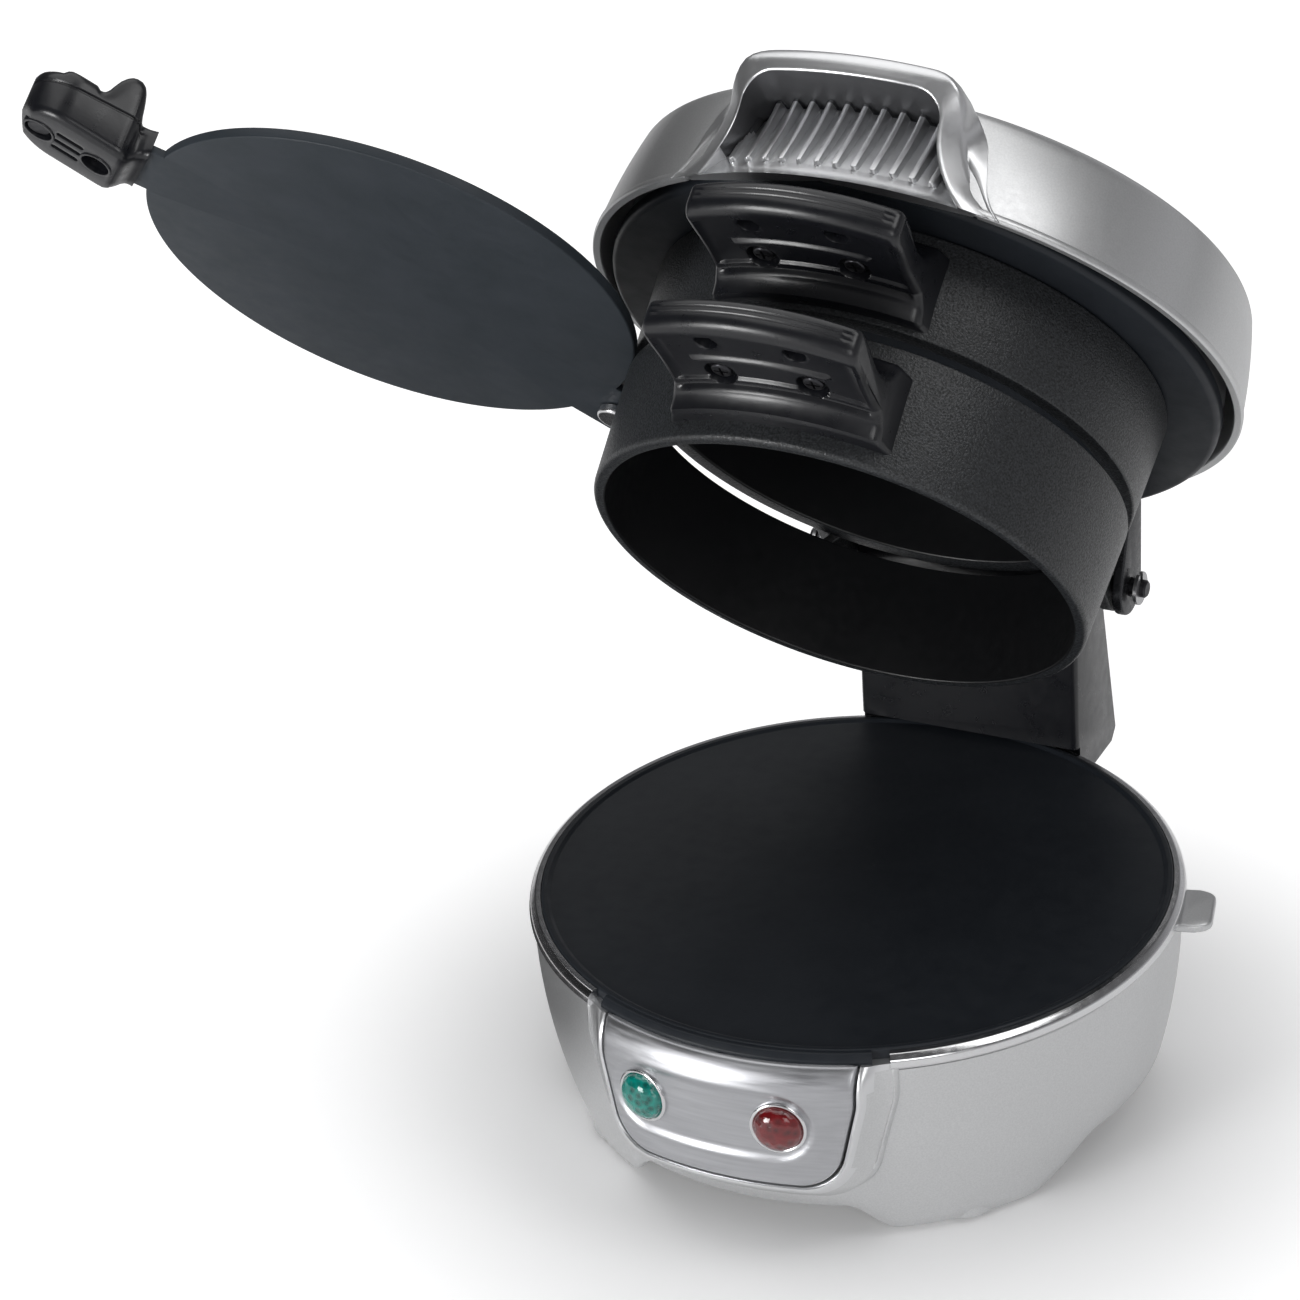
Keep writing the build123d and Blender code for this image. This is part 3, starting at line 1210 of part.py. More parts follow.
# ribs that stand on the recess's back wall and run out at its foot
with BuildPart() as grille_ribs:
    with BuildSketch(Plane.XZ):
        with BuildLine():
            Polyline(
                (63.6, BACK_TOP[1]), (68.8, BACK_TOP[1]), (71.6, GRILLE_LOW_Z), (70.2, BACK_LOW[1]),
                (66.0, 119.5), (63.6, BACK_TOP[1]),
            )
        make_face()
    revolve(axis=Axis.Z)
    with BuildSketch(Plane.XZ):
        with Locations((0, (GRILLE_LOW_Z + GRILLE_TOP_Z) / 2)):
            with GridLocations(RIB_PITCH, 1, GRILLE_RIBS, 1):
                Rectangle(RIB_T, GRILLE_TOP_Z - GRILLE_LOW_Z + 0.6)
    extrude(amount=100, mode=Mode.INTERSECT)

with BuildPart() as cover_handle:
    add(handle_block.part)
    add(grip_recess.part, mode=Mode.SUBTRACT)
    add(grille_ribs.part)
cover_handle.part.move(COVER_OPEN)
cover_handle.part.label = "cover_handle"
export_step(cover_handle.part, "parts/cover_handle.step")

# ---------------------------------------------------------------- shell of the cover
with BuildPart() as shell_form:
    with BuildSketch(Plane.XZ):
        with BuildLine():
            Polyline(
                (COVER_R - COVER_WALL, COVER_LOW_Z), (COVER_R + 0.2, COVER_LOW_Z),
                (COVER_R + 0.2, COVER_LOW_Z + 1.8), (COVER_R - 0.3, COVER_LOW_Z + 2.2),
            )
            ThreePointArc((COVER_R - 0.3, COVER_LOW_Z + 2.2), (70.3, 121), (68.2, COVER_SHOULDER_Z))
            ThreePointArc((68.2, COVER_SHOULDER_Z), (67.0, 133.0), (64.6, 133.8))
            ThreePointArc((64.6, 133.8), (34, 136.5), (0, COVER_TOP_Z))
            Line((0, COVER_TOP_Z), (0, COVER_TOP_Z - COVER_WALL))
            ThreePointArc((0, COVER_TOP_Z - COVER_WALL), (34, 134.7), (64.0, 132.0))
            ThreePointArc((64.0, 132.0), (65.6, 131.5), (66.4, COVER_SHOULDER_Z - 0.6))
            ThreePointArc(
                (66.4, COVER_SHOULDER_Z - 0.6), (68.5, 121), (COVER_R - COVER_WALL, COVER_LOW_Z)
            )
        make_face()
    revolve(axis=Axis.Z)
    add(handle_block.part, mode=Mode.SUBTRACT)

with BuildPart() as cover_shell:
    add(COVER_TIP * shell_form.part)
    # pillars from the dome to the liner
    with BuildSketch(Plane.XY.offset(LINER_FLOOR_TOP)):
        with Locations([polar(59.0, angle) for angle in PILLAR_ANGLES]):
            Circle(3.5)
    extrude(until=Until.NEXT)
cover_shell.part.move(STACK_OPEN)
cover_shell.part.label = "cover_shell"
export_step(cover_shell.part, "parts/cover_shell.step")

# ---------------------------------------------------------------- hinge bracket of the cover
with BuildPart() as cover_hinge_bracket:
    for side in (-1, 1):
        with BuildSketch(Plane.YZ.offset(side * (BRACKET_X + BRACKET_T / 2))):
            with Locations((HINGE_Y, HINGE_Z)):
                Circle(6.5)
            with Locations((60.4, 104.0)):
                Rectangle(4.0, 8.0)
            make_hull()
            with Locations((HINGE_Y, HINGE_Z)):
                Circle(PIN_R + RUNNING, mode=Mode.SUBTRACT)
        extrude(amount=BRACKET_T / 2, both=True)
        with BuildSketch(Plane.XY.offset(UPPER_PLATE_TOP)):
            with Locations((side * (BRACKET_X + BRACKET_T + BRACKET_FOOT_IN) / 2, 54.8)):
                Rectangle(BRACKET_X + BRACKET_T - BRACKET_FOOT_IN, 13.6)
            with Locations((side * BRACKET_SCREW[0], BRACKET_SCREW[1])):
                Circle(1.6, mode=Mode.SUBTRACT)
        extrude(amount=1.5)
cover_hinge_bracket.part.move(STACK_OPEN)
cover_hinge_bracket.part.label = "cover_hinge_bracket"
export_step(cover_hinge_bracket.part, "parts/cover_hinge_bracket.step")

with BuildPart() as cover_bracket_screws:
    for side in (-1, 1):
        seat = Vector(side * BRACKET_SCREW[0], BRACKET_SCREW[1], UPPER_PLATE_TOP + 1.5)
        with Locations(Plane(origin=seat, z_dir=(0, 0, -1))):
            add(UPPER_SCREW)
cover_bracket_screws.part.move(STACK_OPEN)
cover_bracket_screws.part.label = "cover_bracket_screws"
export_step(cover_bracket_screws.part, "parts/cover_bracket_screws.step")

# ---------------------------------------------------------------- inside the cover
with BuildPart() as upper_heating_element:
    with BuildSketch(radial_plane(115)):
        with Locations((ELEMENT_R, UPPER_PLATE_TOP + ELEMENT_TUBE_R)):
            Circle(ELEMENT_TUBE_R)
    revolve(axis=Axis.Z, revolution_arc=ELEMENT_ARC)
    for angle in (115, 115 + ELEMENT_ARC):
        with BuildSketch(Plane.XY.offset(UPPER_PLATE_TOP + ELEMENT_TUBE_R)):
            with Locations(polar(ELEMENT_R, angle)):
                Circle(ELEMENT_TUBE_R)
        extrude(amount=8)
        with BuildSketch(Plane.XY.offset(UPPER_PLATE_TOP + ELEMENT_TUBE_R + 8)):
            with Locations(polar(ELEMENT_R, angle)):
                Rectangle(1, 4)
        extrude(amount=4)
upper_heating_element.part.move(STACK_OPEN)
upper_heating_element.part.label = "upper_heating_element"
export_step(upper_heating_element.part, "parts/upper_heating_element.step")

with BuildPart() as upper_thermostat:
    with BuildSketch(Plane.XY.offset(UPPER_PLATE_TOP)):
        Circle(9)
    extrude(amount=8)
    with BuildSketch(Plane.XY.offset(UPPER_PLATE_TOP)):
        Rectangle(30, 8)
    extrude(amount=1.5)
    with BuildSketch(Plane.XY.offset(UPPER_PLATE_TOP + 8)):
        with Locations((-5, 0), (5, 0)):
            Rectangle(0.8, 6.3)
    extrude(amount=6)
upper_thermostat.part.move(STACK_OPEN)
upper_thermostat.part.label = "upper_thermostat"
export_step(upper_thermostat.part, "parts/upper_thermostat.step")

with BuildPart() as cover_wiring:
    add(lead((-5, 4.6, 119), (-9, 14, 121.5), (-16, 28, 121.5), (-18.6, 36.9, 120.5)))
    add(lead((5, 4.6, 119), (9, 14, 121.5), (16, 28, 121.5), (18.6, 36.9, 120.5)))
cover_wiring.part.move(STACK_OPEN)
cover_wiring.part.label = "cover_wiring"
export_step(cover_wiring.part, "parts/cover_wiring.step")
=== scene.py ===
import json
import math

import bmesh
import bpy
from mathutils import Matrix, Vector
from mathutils.geometry import convex_hull_2d, tessellate_polygon


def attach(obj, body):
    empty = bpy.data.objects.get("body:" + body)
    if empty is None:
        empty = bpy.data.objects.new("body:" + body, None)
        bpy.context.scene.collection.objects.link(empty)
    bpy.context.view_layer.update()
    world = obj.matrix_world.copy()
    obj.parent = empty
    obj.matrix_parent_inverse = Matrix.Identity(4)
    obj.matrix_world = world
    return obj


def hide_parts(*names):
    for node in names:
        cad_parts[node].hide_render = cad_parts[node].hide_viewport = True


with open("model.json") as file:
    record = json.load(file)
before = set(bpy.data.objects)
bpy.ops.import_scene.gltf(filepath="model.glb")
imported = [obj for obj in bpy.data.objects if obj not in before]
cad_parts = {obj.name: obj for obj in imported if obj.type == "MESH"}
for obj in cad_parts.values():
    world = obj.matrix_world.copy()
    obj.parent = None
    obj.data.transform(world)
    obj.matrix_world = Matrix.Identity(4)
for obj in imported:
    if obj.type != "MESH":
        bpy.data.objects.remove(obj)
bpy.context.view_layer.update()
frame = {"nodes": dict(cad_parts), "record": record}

# %% [markdown]
# A breakfast sandwich maker, open on a pale table.  Two cast rings and a domed cover hang on one
# hinge pin behind a round base, and a thin cooking plate has swung out from between the rings.
# Sizes below are in millimetres, as on a drawing, and one factor turns them into Blender's metres.

# %% Units and the appliance's driving sizes
MM = 0.001
HINGE_Y, HINGE_Z = 73.1, 90.7
OPEN_ANGLE = 54.5
COVER_PITCH = 3.0
SWING_ANGLE = 131.0
PIVOT_R, PIVOT_ANGLE = 60.0, 181.9
COOK_Z, RIM_Z, SEAM_Z = 50.2, 50.8, 46.2
RING_LOW, RING_TOP = 50.6, 77.2
UPPER_LOW, UPPER_TOP = 80.4, 102.6
BORE_R = 51.3
PLATE_Z, PLATE_H = 77.55, 2.5
print("ring bore", 2 * BORE_R, "mm across")

# %% [markdown]
# The rings and the cover are easiest to draw shut, stacked round the Z axis, and that is how they
# are written below.  A matrix then swings each one open about the hinge line, the way the real
# appliance opens, so that no piece has to be drawn on a slope.

# %% Places: shut, swung open with the rings, with the cover, and with the cooking plate


def about(point, angle, axis):
    """Turns by an angle in degrees about an axis through a point."""
    there = Matrix.Translation(Vector(point))
    return there @ Matrix.Rotation(math.radians(angle), 4, axis) @ there.inverted()


def polar(radius, angle):
    """A point in plan, its angle in degrees from the +X axis."""
    return (radius * math.cos(math.radians(angle)), radius * math.sin(math.radians(angle)))


HINGE = (0, HINGE_Y, HINGE_Z)
PIVOT = (*polar(PIVOT_R, PIVOT_ANGLE), 0)
ON_BASE = Matrix.Identity(4)
ON_RINGS = about(HINGE, -OPEN_ANGLE, "X")
ON_COVER = about(HINGE, COVER_PITCH - OPEN_ANGLE, "X")
ON_PLATE = ON_RINGS @ about(PIVOT, -SWING_ANGLE, "Z")
print("pivot of the plate stands at", [round(v) for v in ON_RINGS @ Vector((*PIVOT[:2], PLATE_Z))])

# %% [markdown]
# The camera goes where the photographer's stood: about a metre away, to the right of the front and
# a little above, with a long lens.  Its small roll is real too, the worktop isn't quite level.

# %% Camera
CAMERA_AZIMUTH, CAMERA_ELEVATION, CAMERA_ROLL = 27.55, 28.83, -4.05
CAMERA_DISTANCE = 1.0
LENS_MM, SENSOR_MM = 128.66, 36.0
AIM_HEIGHT, AIM_ASIDE, AIM_UP = 0.06942, -0.0412, 0.03522
azimuth, elevation = math.radians(CAMERA_AZIMUTH), math.radians(CAMERA_ELEVATION)
back = Vector((
    math.sin(azimuth) * math.cos(elevation),
    -math.cos(azimuth) * math.cos(elevation),
    math.sin(elevation),
))
right = Vector((math.cos(azimuth), math.sin(azimuth), 0))
up = back.cross(right)
eye = Vector((0, 0, AIM_HEIGHT)) + right * AIM_ASIDE + up * AIM_UP + back * CAMERA_DISTANCE
camera = bpy.data.objects.new("camera", bpy.data.cameras.new("camera"))
bpy.context.scene.collection.objects.link(camera)
camera.data.lens, camera.data.sensor_width = LENS_MM, SENSOR_MM
camera.data.clip_start, camera.data.clip_end = 0.05, 20
facing = Matrix((right, up, back)).transposed().to_4x4()
roll = Matrix.Rotation(math.radians(CAMERA_ROLL), 4, "Z")
camera.matrix_world = Matrix.Translation(eye) @ facing @ roll
bpy.context.scene.camera = camera
bpy.context.scene.view_settings.view_transform = "Standard"
print("camera stands at", [round(v, 3) for v in eye])

# %% [markdown]
# A product like this is lit by big soft boxes: one low on the left for the sheen along the black
# handles, two on the right for the grain of the rings and the side of the cover, and a very wide
# one overhead for the hood.  Their size matters more than their power, because metal shows the
# lamp itself.

# %% Lamps
SOFT_BOXES = (
    ("front_left", (-0.72, -1.40, 0.30), 0.5, 11),
    ("overhead", (-0.32, 0.3, 1.4), 1.6, 10),
    ("high_right", (0.8, 0.0, 1.3), 0.6, 3),
    ("front_right", (0.9, -1.1, 0.75), 0.6, 3),
)
LIT_POINT = Vector((0, 0, 0.1))


def softbox(name, place, size, watts):
    """A square area lamp that points at the middle of the appliance."""
    light = bpy.data.lights.new(name, "AREA")
    light.shape, light.size, light.energy = "SQUARE", size, watts
    lamp = bpy.data.objects.new(name, light)
    bpy.context.scene.collection.objects.link(lamp)
    lamp.location = place
    lamp.rotation_euler = (Vector(place) - LIT_POINT).to_track_quat("Z", "Y").to_euler()
    print("soft box", name, "of", watts, "watts")


for name, place, size, watts in SOFT_BOXES:
    softbox(name, place, size, watts)

# %% [markdown]
# Every finish is a small node tree.  The helpers below lay the parts they share: a Principled
# shader, a noise that runs through the object's own coordinates, and the ways in which a noise can
# lead the colour, the gloss or the height of a surface.

# %% Helpers for finishes


def finish(name, colour, roughness, metallic=0.0, coat=0.0, coat_roughness=0.1,
           ior=1.5, specular=0.5):
    """A material with a Principled shader; returns (material, node tree, shader)."""
    material = bpy.data.materials.new(name)
    material.use_nodes = True
    tree = material.node_tree
    shader = tree.nodes["Principled BSDF"]
    shader.inputs["Base Color"].default_value = (*colour, 1)
    shader.inputs["Roughness"].default_value = roughness
    shader.inputs["Metallic"].default_value = metallic
    shader.inputs["Coat Weight"].default_value = coat
    shader.inputs["Coat Roughness"].default_value = coat_roughness
    shader.inputs["IOR"].default_value = ior
    shader.inputs["Specular IOR Level"].default_value = specular
    print("finish:", name)
    return material, tree, shader


def noise(tree, scale, detail=4.0, stretch=(1, 1, 1)):
    """Noise in the object's coordinates, scale in grains per metre, stretched along axes."""
    place = tree.nodes.new("ShaderNodeTexCoord")
    mapping = tree.nodes.new("ShaderNodeMapping")
    mapping.inputs["Scale"].default_value = stretch
    grain = tree.nodes.new("ShaderNodeTexNoise")
    grain.inputs["Scale"].default_value = scale
    grain.inputs["Detail"].default_value = detail
    tree.links.new(place.outputs["Object"], mapping.inputs["Vector"])
    tree.links.new(mapping.outputs["Vector"], grain.inputs["Vector"])
    return grain.outputs["Fac"]


def spread(tree, value, low, high, start=0.3, end=0.7):
    """Maps the span from start to end onto the one from low to high."""
    ramp = tree.nodes.new("ShaderNodeMapRange")
    ramp.inputs["From Min"].default_value = start
    ramp.inputs["From Max"].default_value = end
    ramp.inputs["To Min"].default_value = low
    ramp.inputs["To Max"].default_value = high
    tree.links.new(value, ramp.inputs["Value"])
    return ramp.outputs["Result"]


def tint(tree, value, dark, light):
    """Colour between two tones, led by a value from 0 to 1."""
    mix = tree.nodes.new("ShaderNodeMix")
    mix.data_type = "RGBA"
    mix.inputs["A"].default_value = (*dark, 1)
    mix.inputs["B"].default_value = (*light, 1)
    tree.links.new(value, mix.inputs["Factor"])
    return mix.outputs["Result"]


def tone(tree, shader, grain, dark, light):
    """Lets the colour follow a grain."""
    tree.links.new(tint(tree, spread(tree, grain, 0, 1), dark, light), shader.inputs["Base Color"])


def dull(tree, shader, grain, low, high):
    """Lets the roughness follow a grain."""
    tree.links.new(spread(tree, grain, low, high), shader.inputs["Roughness"])


def bump(tree, shader, height, distance, strength=1.0):
    """Raises the surface by a height map; distance is in metres."""
    node = tree.nodes.new("ShaderNodeBump")
    node.inputs["Distance"].default_value = distance
    node.inputs["Strength"].default_value = strength
    tree.links.new(height, node.inputs["Height"])
    tree.links.new(node.outputs["Normal"], shader.inputs["Normal"])


print("helpers for finishes ready")

# %% [markdown]
# Around the lamps is a studio.  The camera sees it white, but metal should have something to
# mirror, so every other ray meets grey walls that darken with height, and a dark flag on the far
# left that keeps the left side of the cover deep.

# %% World
WALL_LEVELS = ((0.0, 0.50), (0.22, 0.34), (0.45, 0.12), (0.9, 0.05))
FLAG_START, FLAG_END, FLAG_LEVEL = -0.75, -0.35, 0.12
world = bpy.data.worlds.new("studio")
bpy.context.scene.world = world
world.use_nodes = True
sky = world.node_tree
direction = sky.nodes.new("ShaderNodeTexCoord")
axes = sky.nodes.new("ShaderNodeSeparateXYZ")
sky.links.new(direction.outputs["Generated"], axes.inputs["Vector"])
walls = sky.nodes.new("ShaderNodeValToRGB")
for place, level in WALL_LEVELS:
    stop = walls.color_ramp.elements.new(place)
    stop.color = (level, level, level * 1.03, 1)
walls.color_ramp.elements.remove(walls.color_ramp.elements[-1])
sky.links.new(axes.outputs["Z"], walls.inputs["Fac"])
flagged = sky.nodes.new("ShaderNodeMix")
flagged.data_type, flagged.blend_type = "RGBA", "MULTIPLY"
flagged.inputs["Factor"].default_value = 1.0
sky.links.new(walls.outputs["Color"], flagged.inputs["A"])
flag = spread(sky, axes.outputs["X"], FLAG_LEVEL, 1.0, FLAG_START, FLAG_END)
sky.links.new(flag, flagged.inputs["B"])
seen_or_mirrored = sky.nodes.new("ShaderNodeMix")
seen_or_mirrored.data_type = "RGBA"
seen_or_mirrored.inputs["B"].default_value = (1, 1, 1, 1)
rays = sky.nodes.new("ShaderNodeLightPath")
sky.links.new(rays.outputs["Is Camera Ray"], seen_or_mirrored.inputs["Factor"])
sky.links.new(flagged.outputs["Result"], seen_or_mirrored.inputs["A"])
sky.links.new(seen_or_mirrored.outputs["Result"], sky.nodes["Background"].inputs["Color"])
print("studio walls with", len(WALL_LEVELS), "greys")

# %% [markdown]
# The table is a large pale sheet that should look pure white to the camera.  So it glows for the
# camera, and more so away from the appliance: the weaker glow near it is a painted shadow round the
# feet.  To the metal it is a plain table, with a dark patch painted on it on the left that only
# reflections see, a painted shade that keeps the left side of the base deep.

# %% Table
TABLE_COLOUR, PAINTED_REFLECTION_COLOUR = (0.86, 0.86, 0.865), (0.04, 0.04, 0.042)
GLOW_IN_PAINTED_SHADOW, GLOW_FAR, GLOW_START, GLOW_END = 0.15, 0.62, 0.05, 0.15
FAR_GLOW, FAR_START, FAR_END = 0.35, 0.3, 1.5
MIRRORED_GLOW, PAINTED_REFLECTION_GLOW = 0.16, 0.02
# Place and size of a dark patch painted into the table's reflections, a painted shade.
PAINTED_REFLECTION_PLACE, PAINTED_REFLECTION_R, PAINTED_REFLECTION_EDGE_R = (-0.17, -0.01, 0), 0.08, 0.12
floor_mesh = bmesh.new()
bmesh.ops.create_grid(floor_mesh, x_segments=2, y_segments=2, size=3.0)
floor = bpy.data.objects.new("table_top", bpy.data.meshes.new("table_top"))
floor_mesh.to_mesh(floor.data)
floor_mesh.free()
bpy.context.scene.collection.objects.link(floor)


def distance_from(tree, place):
    """Distance from a place on the table, in metres."""
    here = tree.nodes.new("ShaderNodeTexCoord")
    gap = tree.nodes.new("ShaderNodeVectorMath")
    gap.operation = "DISTANCE"
    gap.inputs[1].default_value = place
    tree.links.new(here.outputs["Object"], gap.inputs[0])
    return gap.outputs["Value"]


def arithmetic(tree, operation, first, second):
    """The sum or product of two values."""
    node = tree.nodes.new("ShaderNodeMath")
    node.operation = operation
    tree.links.new(first, node.inputs[0])
    tree.links.new(second, node.inputs[1])
    return node.outputs["Value"]


table_white, tree, shader = finish("table_white", TABLE_COLOUR, 0.6, specular=0.1)
rays = tree.nodes.new("ShaderNodeLightPath")
to_feet = distance_from(tree, (0, 0, 0))
# Less glow near the feet: a painted shadow round the appliance.
glow_with_painted_shadow = spread(tree, to_feet, GLOW_IN_PAINTED_SHADOW, GLOW_FAR, GLOW_START, GLOW_END)
glow_with_painted_shadow.node.interpolation_type = "SMOOTHSTEP"
far_glow = spread(tree, to_feet, 0.0, FAR_GLOW, FAR_START, FAR_END)
# A dark patch that only glossy rays see: shade painted into the reflections on the left of the base.
on_painted_reflection = spread(tree, distance_from(tree, PAINTED_REFLECTION_PLACE), 1, 0, PAINTED_REFLECTION_R, PAINTED_REFLECTION_EDGE_R)
painted_dark_reflection = arithmetic(tree, "MULTIPLY", on_painted_reflection, rays.outputs["Is Glossy Ray"])
tree.links.new(tint(tree, painted_dark_reflection, TABLE_COLOUR, PAINTED_REFLECTION_COLOUR), shader.inputs["Base Color"])
glow = tree.nodes.new("ShaderNodeMix")
tree.links.new(spread(tree, painted_dark_reflection, MIRRORED_GLOW, PAINTED_REFLECTION_GLOW, 0, 1), glow.inputs["A"])
tree.links.new(arithmetic(tree, "ADD", glow_with_painted_shadow, far_glow), glow.inputs["B"])
tree.links.new(rays.outputs["Is Camera Ray"], glow.inputs["Factor"])
shader.inputs["Emission Color"].default_value = (1, 1, 1, 1)
tree.links.new(glow.outputs["Result"], shader.inputs["Emission Strength"])
floor.data.materials.append(table_white)

# %% [markdown]
# The silver of the base and cover is a metallic paint over plastic: tiny flakes that never quite
# line up under a clear coat.  The flakes are a very fine noise in colour and roughness.

# %% Silver paint
silver_paint, tree, shader = finish("silver_paint", (0.68, 0.685, 0.69), 0.38, 0.85, 0.25, 0.12)
flakes = noise(tree, 2600, 2)
tone(tree, shader, flakes, (0.64, 0.645, 0.65), (0.71, 0.715, 0.72))
dull(tree, shader, noise(tree, 900, 3), 0.35, 0.41)
bump(tree, shader, flakes, 0.00001, 0.3)

# %% [markdown]
# The hood has the same paint rubbed smoother.  The cheeks of its finger recess get a darker
# colour and a rougher gloss: painted shade, because the recess is too shallow to shade itself.

# %% Satin silver of the hood, and the silver with painted shade for its recess
satin_silver, tree, shader = finish("satin_silver", (0.76, 0.765, 0.775), 0.32, 0.92, 0.2, 0.1)
dull(tree, shader, noise(tree, 900, 3), 0.30, 0.36)
# A darker copy of the silver: painted shade for the recess.
painted_shade_silver, tree, shader = finish("painted_shade_silver", (0.17, 0.172, 0.18), 0.42, 0.85)
dull(tree, shader, noise(tree, 900, 3), 0.38, 0.46)

# %% [markdown]
# The control panel is brushed: fine lines all run the same way.  A noise that is stretched along
# X gives those lines, and both the colour and the roughness follow it.

# %% Brushed silver of the control panel
brushed_silver, tree, shader = finish("brushed_silver", (0.5, 0.505, 0.525), 0.34, 0.9, 0.2, 0.1)
lines = noise(tree, 1400, 3, (0.04, 0.3, 1))
tone(tree, shader, lines, (0.46, 0.465, 0.485), (0.53, 0.535, 0.555))
dull(tree, shader, lines, 0.28, 0.42)

# %% [markdown]
# The rim band and the rings round the lamps are polished.  Even polished metal isn't a mirror, so
# its gloss wanders a little.

# %% Bright metal
bright_metal, tree, shader = finish("bright_metal", (0.78, 0.78, 0.79), 0.18, 1.0)
dull(tree, shader, noise(tree, 500, 3), 0.14, 0.24)

# %% [markdown]
# Non-stick coating is a dark, faintly blue skin with a soft gloss, sprayed on cast aluminium.  The
# cooking plate has a greyer and smoother one than the two hotplates.

# %% Non-stick coatings
nonstick, tree, shader = finish("nonstick", (0.016, 0.019, 0.024), 0.42, specular=0.28)
tone(tree, shader, noise(tree, 60, 4), (0.015, 0.018, 0.023), (0.02, 0.0235, 0.029))
dull(tree, shader, noise(tree, 240, 5), 0.36, 0.5)
bump(tree, shader, noise(tree, 1800, 3), 0.00004, 0.4)
slate_coating, tree, shader = finish("slate_coating", (0.032, 0.039, 0.047), 0.45, specular=0.3)
tone(tree, shader, noise(tree, 90, 5), (0.028, 0.035, 0.042), (0.035, 0.042, 0.051))
dull(tree, shader, noise(tree, 300, 5), 0.42, 0.5)

# %% [markdown]
# Outside, the rings have a crinkled coating with grains of about half a millimetre.  Its hills
# shine and its hollows don't, so one noise leads height, colour and gloss together: the colour is
# painted shade in the hollows and painted sheen on the hills.  The bore is smooth, and nearly black
# because little light reaches it.

# %% Finishes of the rings, outside and inside
crinkle, tree, shader = finish("crinkle", (0.012, 0.0125, 0.014), 0.36)
grain = noise(tree, 2300, 1.5)
# The colour follows the grain: painted shade in the hollows, painted sheen on the hills.
tone(tree, shader, grain, (0.004, 0.0045, 0.005), (0.04, 0.043, 0.047))
dull(tree, shader, grain, 0.46, 0.28)
bump(tree, shader, grain, 0.0002, 0.7)
bore_black, tree, shader = finish("bore_black", (0.006, 0.0062, 0.007), 0.4)
dull(tree, shader, noise(tree, 500, 3), 0.34, 0.44)

# %% [markdown]
# Handles and hinge post are phenolic, the hard black plastic that stands heat.  It comes out of
# the mould with a low gloss and a very fine grain.

# %% Black phenolic
phenolic, tree, shader = finish(
    "phenolic", (0.0075, 0.008, 0.0105), 0.3, coat=0.2, coat_roughness=0.18
)
dull(tree, shader, noise(tree, 350, 4), 0.26, 0.36)
bump(tree, shader, noise(tree, 1500, 2), 0.00003, 0.4)

# %% [markdown]
# Screws, the hinge and the parts inside are plain metals whose gloss wanders, or dull plastics,
# rubber and sleeving with a grain.  Two tables and two loops make them all.

# %% Plain metals, ceramic, plastics and rubber
WORN_FINISHES = (  # name, colour, roughness, metallic, grains per metre, detail, gloss from and to
    ("plain_steel", (0.55, 0.55, 0.56), 0.3, 1.0, 700, 4, 0.24, 0.42),
    ("dark_steel", (0.035, 0.036, 0.04), 0.28, 0.6, 700, 4, 0.22, 0.36),
    ("black_screw", (0.05, 0.05, 0.055), 0.35, 0.9, 900, 4, 0.28, 0.45),
    ("ceramic", (0.72, 0.7, 0.66), 0.5, 0.0, 400, 4, 0.42, 0.6),
    ("galvanised", (0.5, 0.51, 0.52), 0.4, 1.0, 120, 5, 0.3, 0.55),
)
GRAINED_FINISHES = (  # name, colour, roughness, grains per metre, detail, strength of the bump
    ("sleeve", (0.66, 0.63, 0.56), 0.8, 2500, 2, 0.6),
    ("dark_plastic", (0.05, 0.05, 0.052), 0.55, 1500, 3, 0.4),
    ("foot_rubber", (0.03, 0.03, 0.03), 0.75, 2000, 3, 0.5),
)
plain = {}
for name, colour, roughness, metallic, scale, detail, low, high in WORN_FINISHES:
    plain[name], tree, shader = finish(name, colour, roughness, metallic)
    dull(tree, shader, noise(tree, scale, detail), low, high)
for name, colour, roughness, scale, detail, strength in GRAINED_FINISHES:
    plain[name], tree, shader = finish(name, colour, roughness)
    bump(tree, shader, noise(tree, scale, detail), 0.0001, strength)

# %% [markdown]
# The two indicator lamps are jewels of clear coloured plastic, cut in facets inside.  Cells of a
# Voronoi pattern stand in for the facets: they raise the surface, and the colour of each is dark in
# its middle and bright at its edges, a painted glint along the facets.

# %% Jewels


def jewel(name, colour, glow):
    """Clear coloured plastic, cut in facets that catch the light."""
    material, tree, shader = finish(name, colour, 0.08, coat=1.0, coat_roughness=0.03, ior=1.49)
    shader.inputs["Transmission Weight"].default_value = 0.35
    shader.inputs["Emission Color"].default_value = (*glow, 1)
    shader.inputs["Emission Strength"].default_value = 0.04
    cells = tree.nodes.new("ShaderNodeTexVoronoi")
    cells.inputs["Scale"].default_value = 620
    place = tree.nodes.new("ShaderNodeTexCoord")
    tree.links.new(place.outputs["Object"], cells.inputs["Vector"])
    # Colour darker in each cell's middle and brighter at its edges: painted glints on the facets.
    painted_facet_glint = spread(tree, cells.outputs["Distance"], 0, 1, 0.1, 0.7)
    dark, light = [c * 0.35 for c in colour], [c * 2.0 for c in colour]
    tree.links.new(tint(tree, painted_facet_glint, dark, light), shader.inputs["Base Color"])
    bump(tree, shader, cells.outputs["Distance"], 0.0006, 0.6)
    return material


green_jewel = jewel("green_jewel", (0.0, 0.16, 0.13), (0.0, 0.62, 0.52))
red_jewel = jewel("red_jewel", (0.11, 0.002, 0.004), (0.6, 0.02, 0.02))

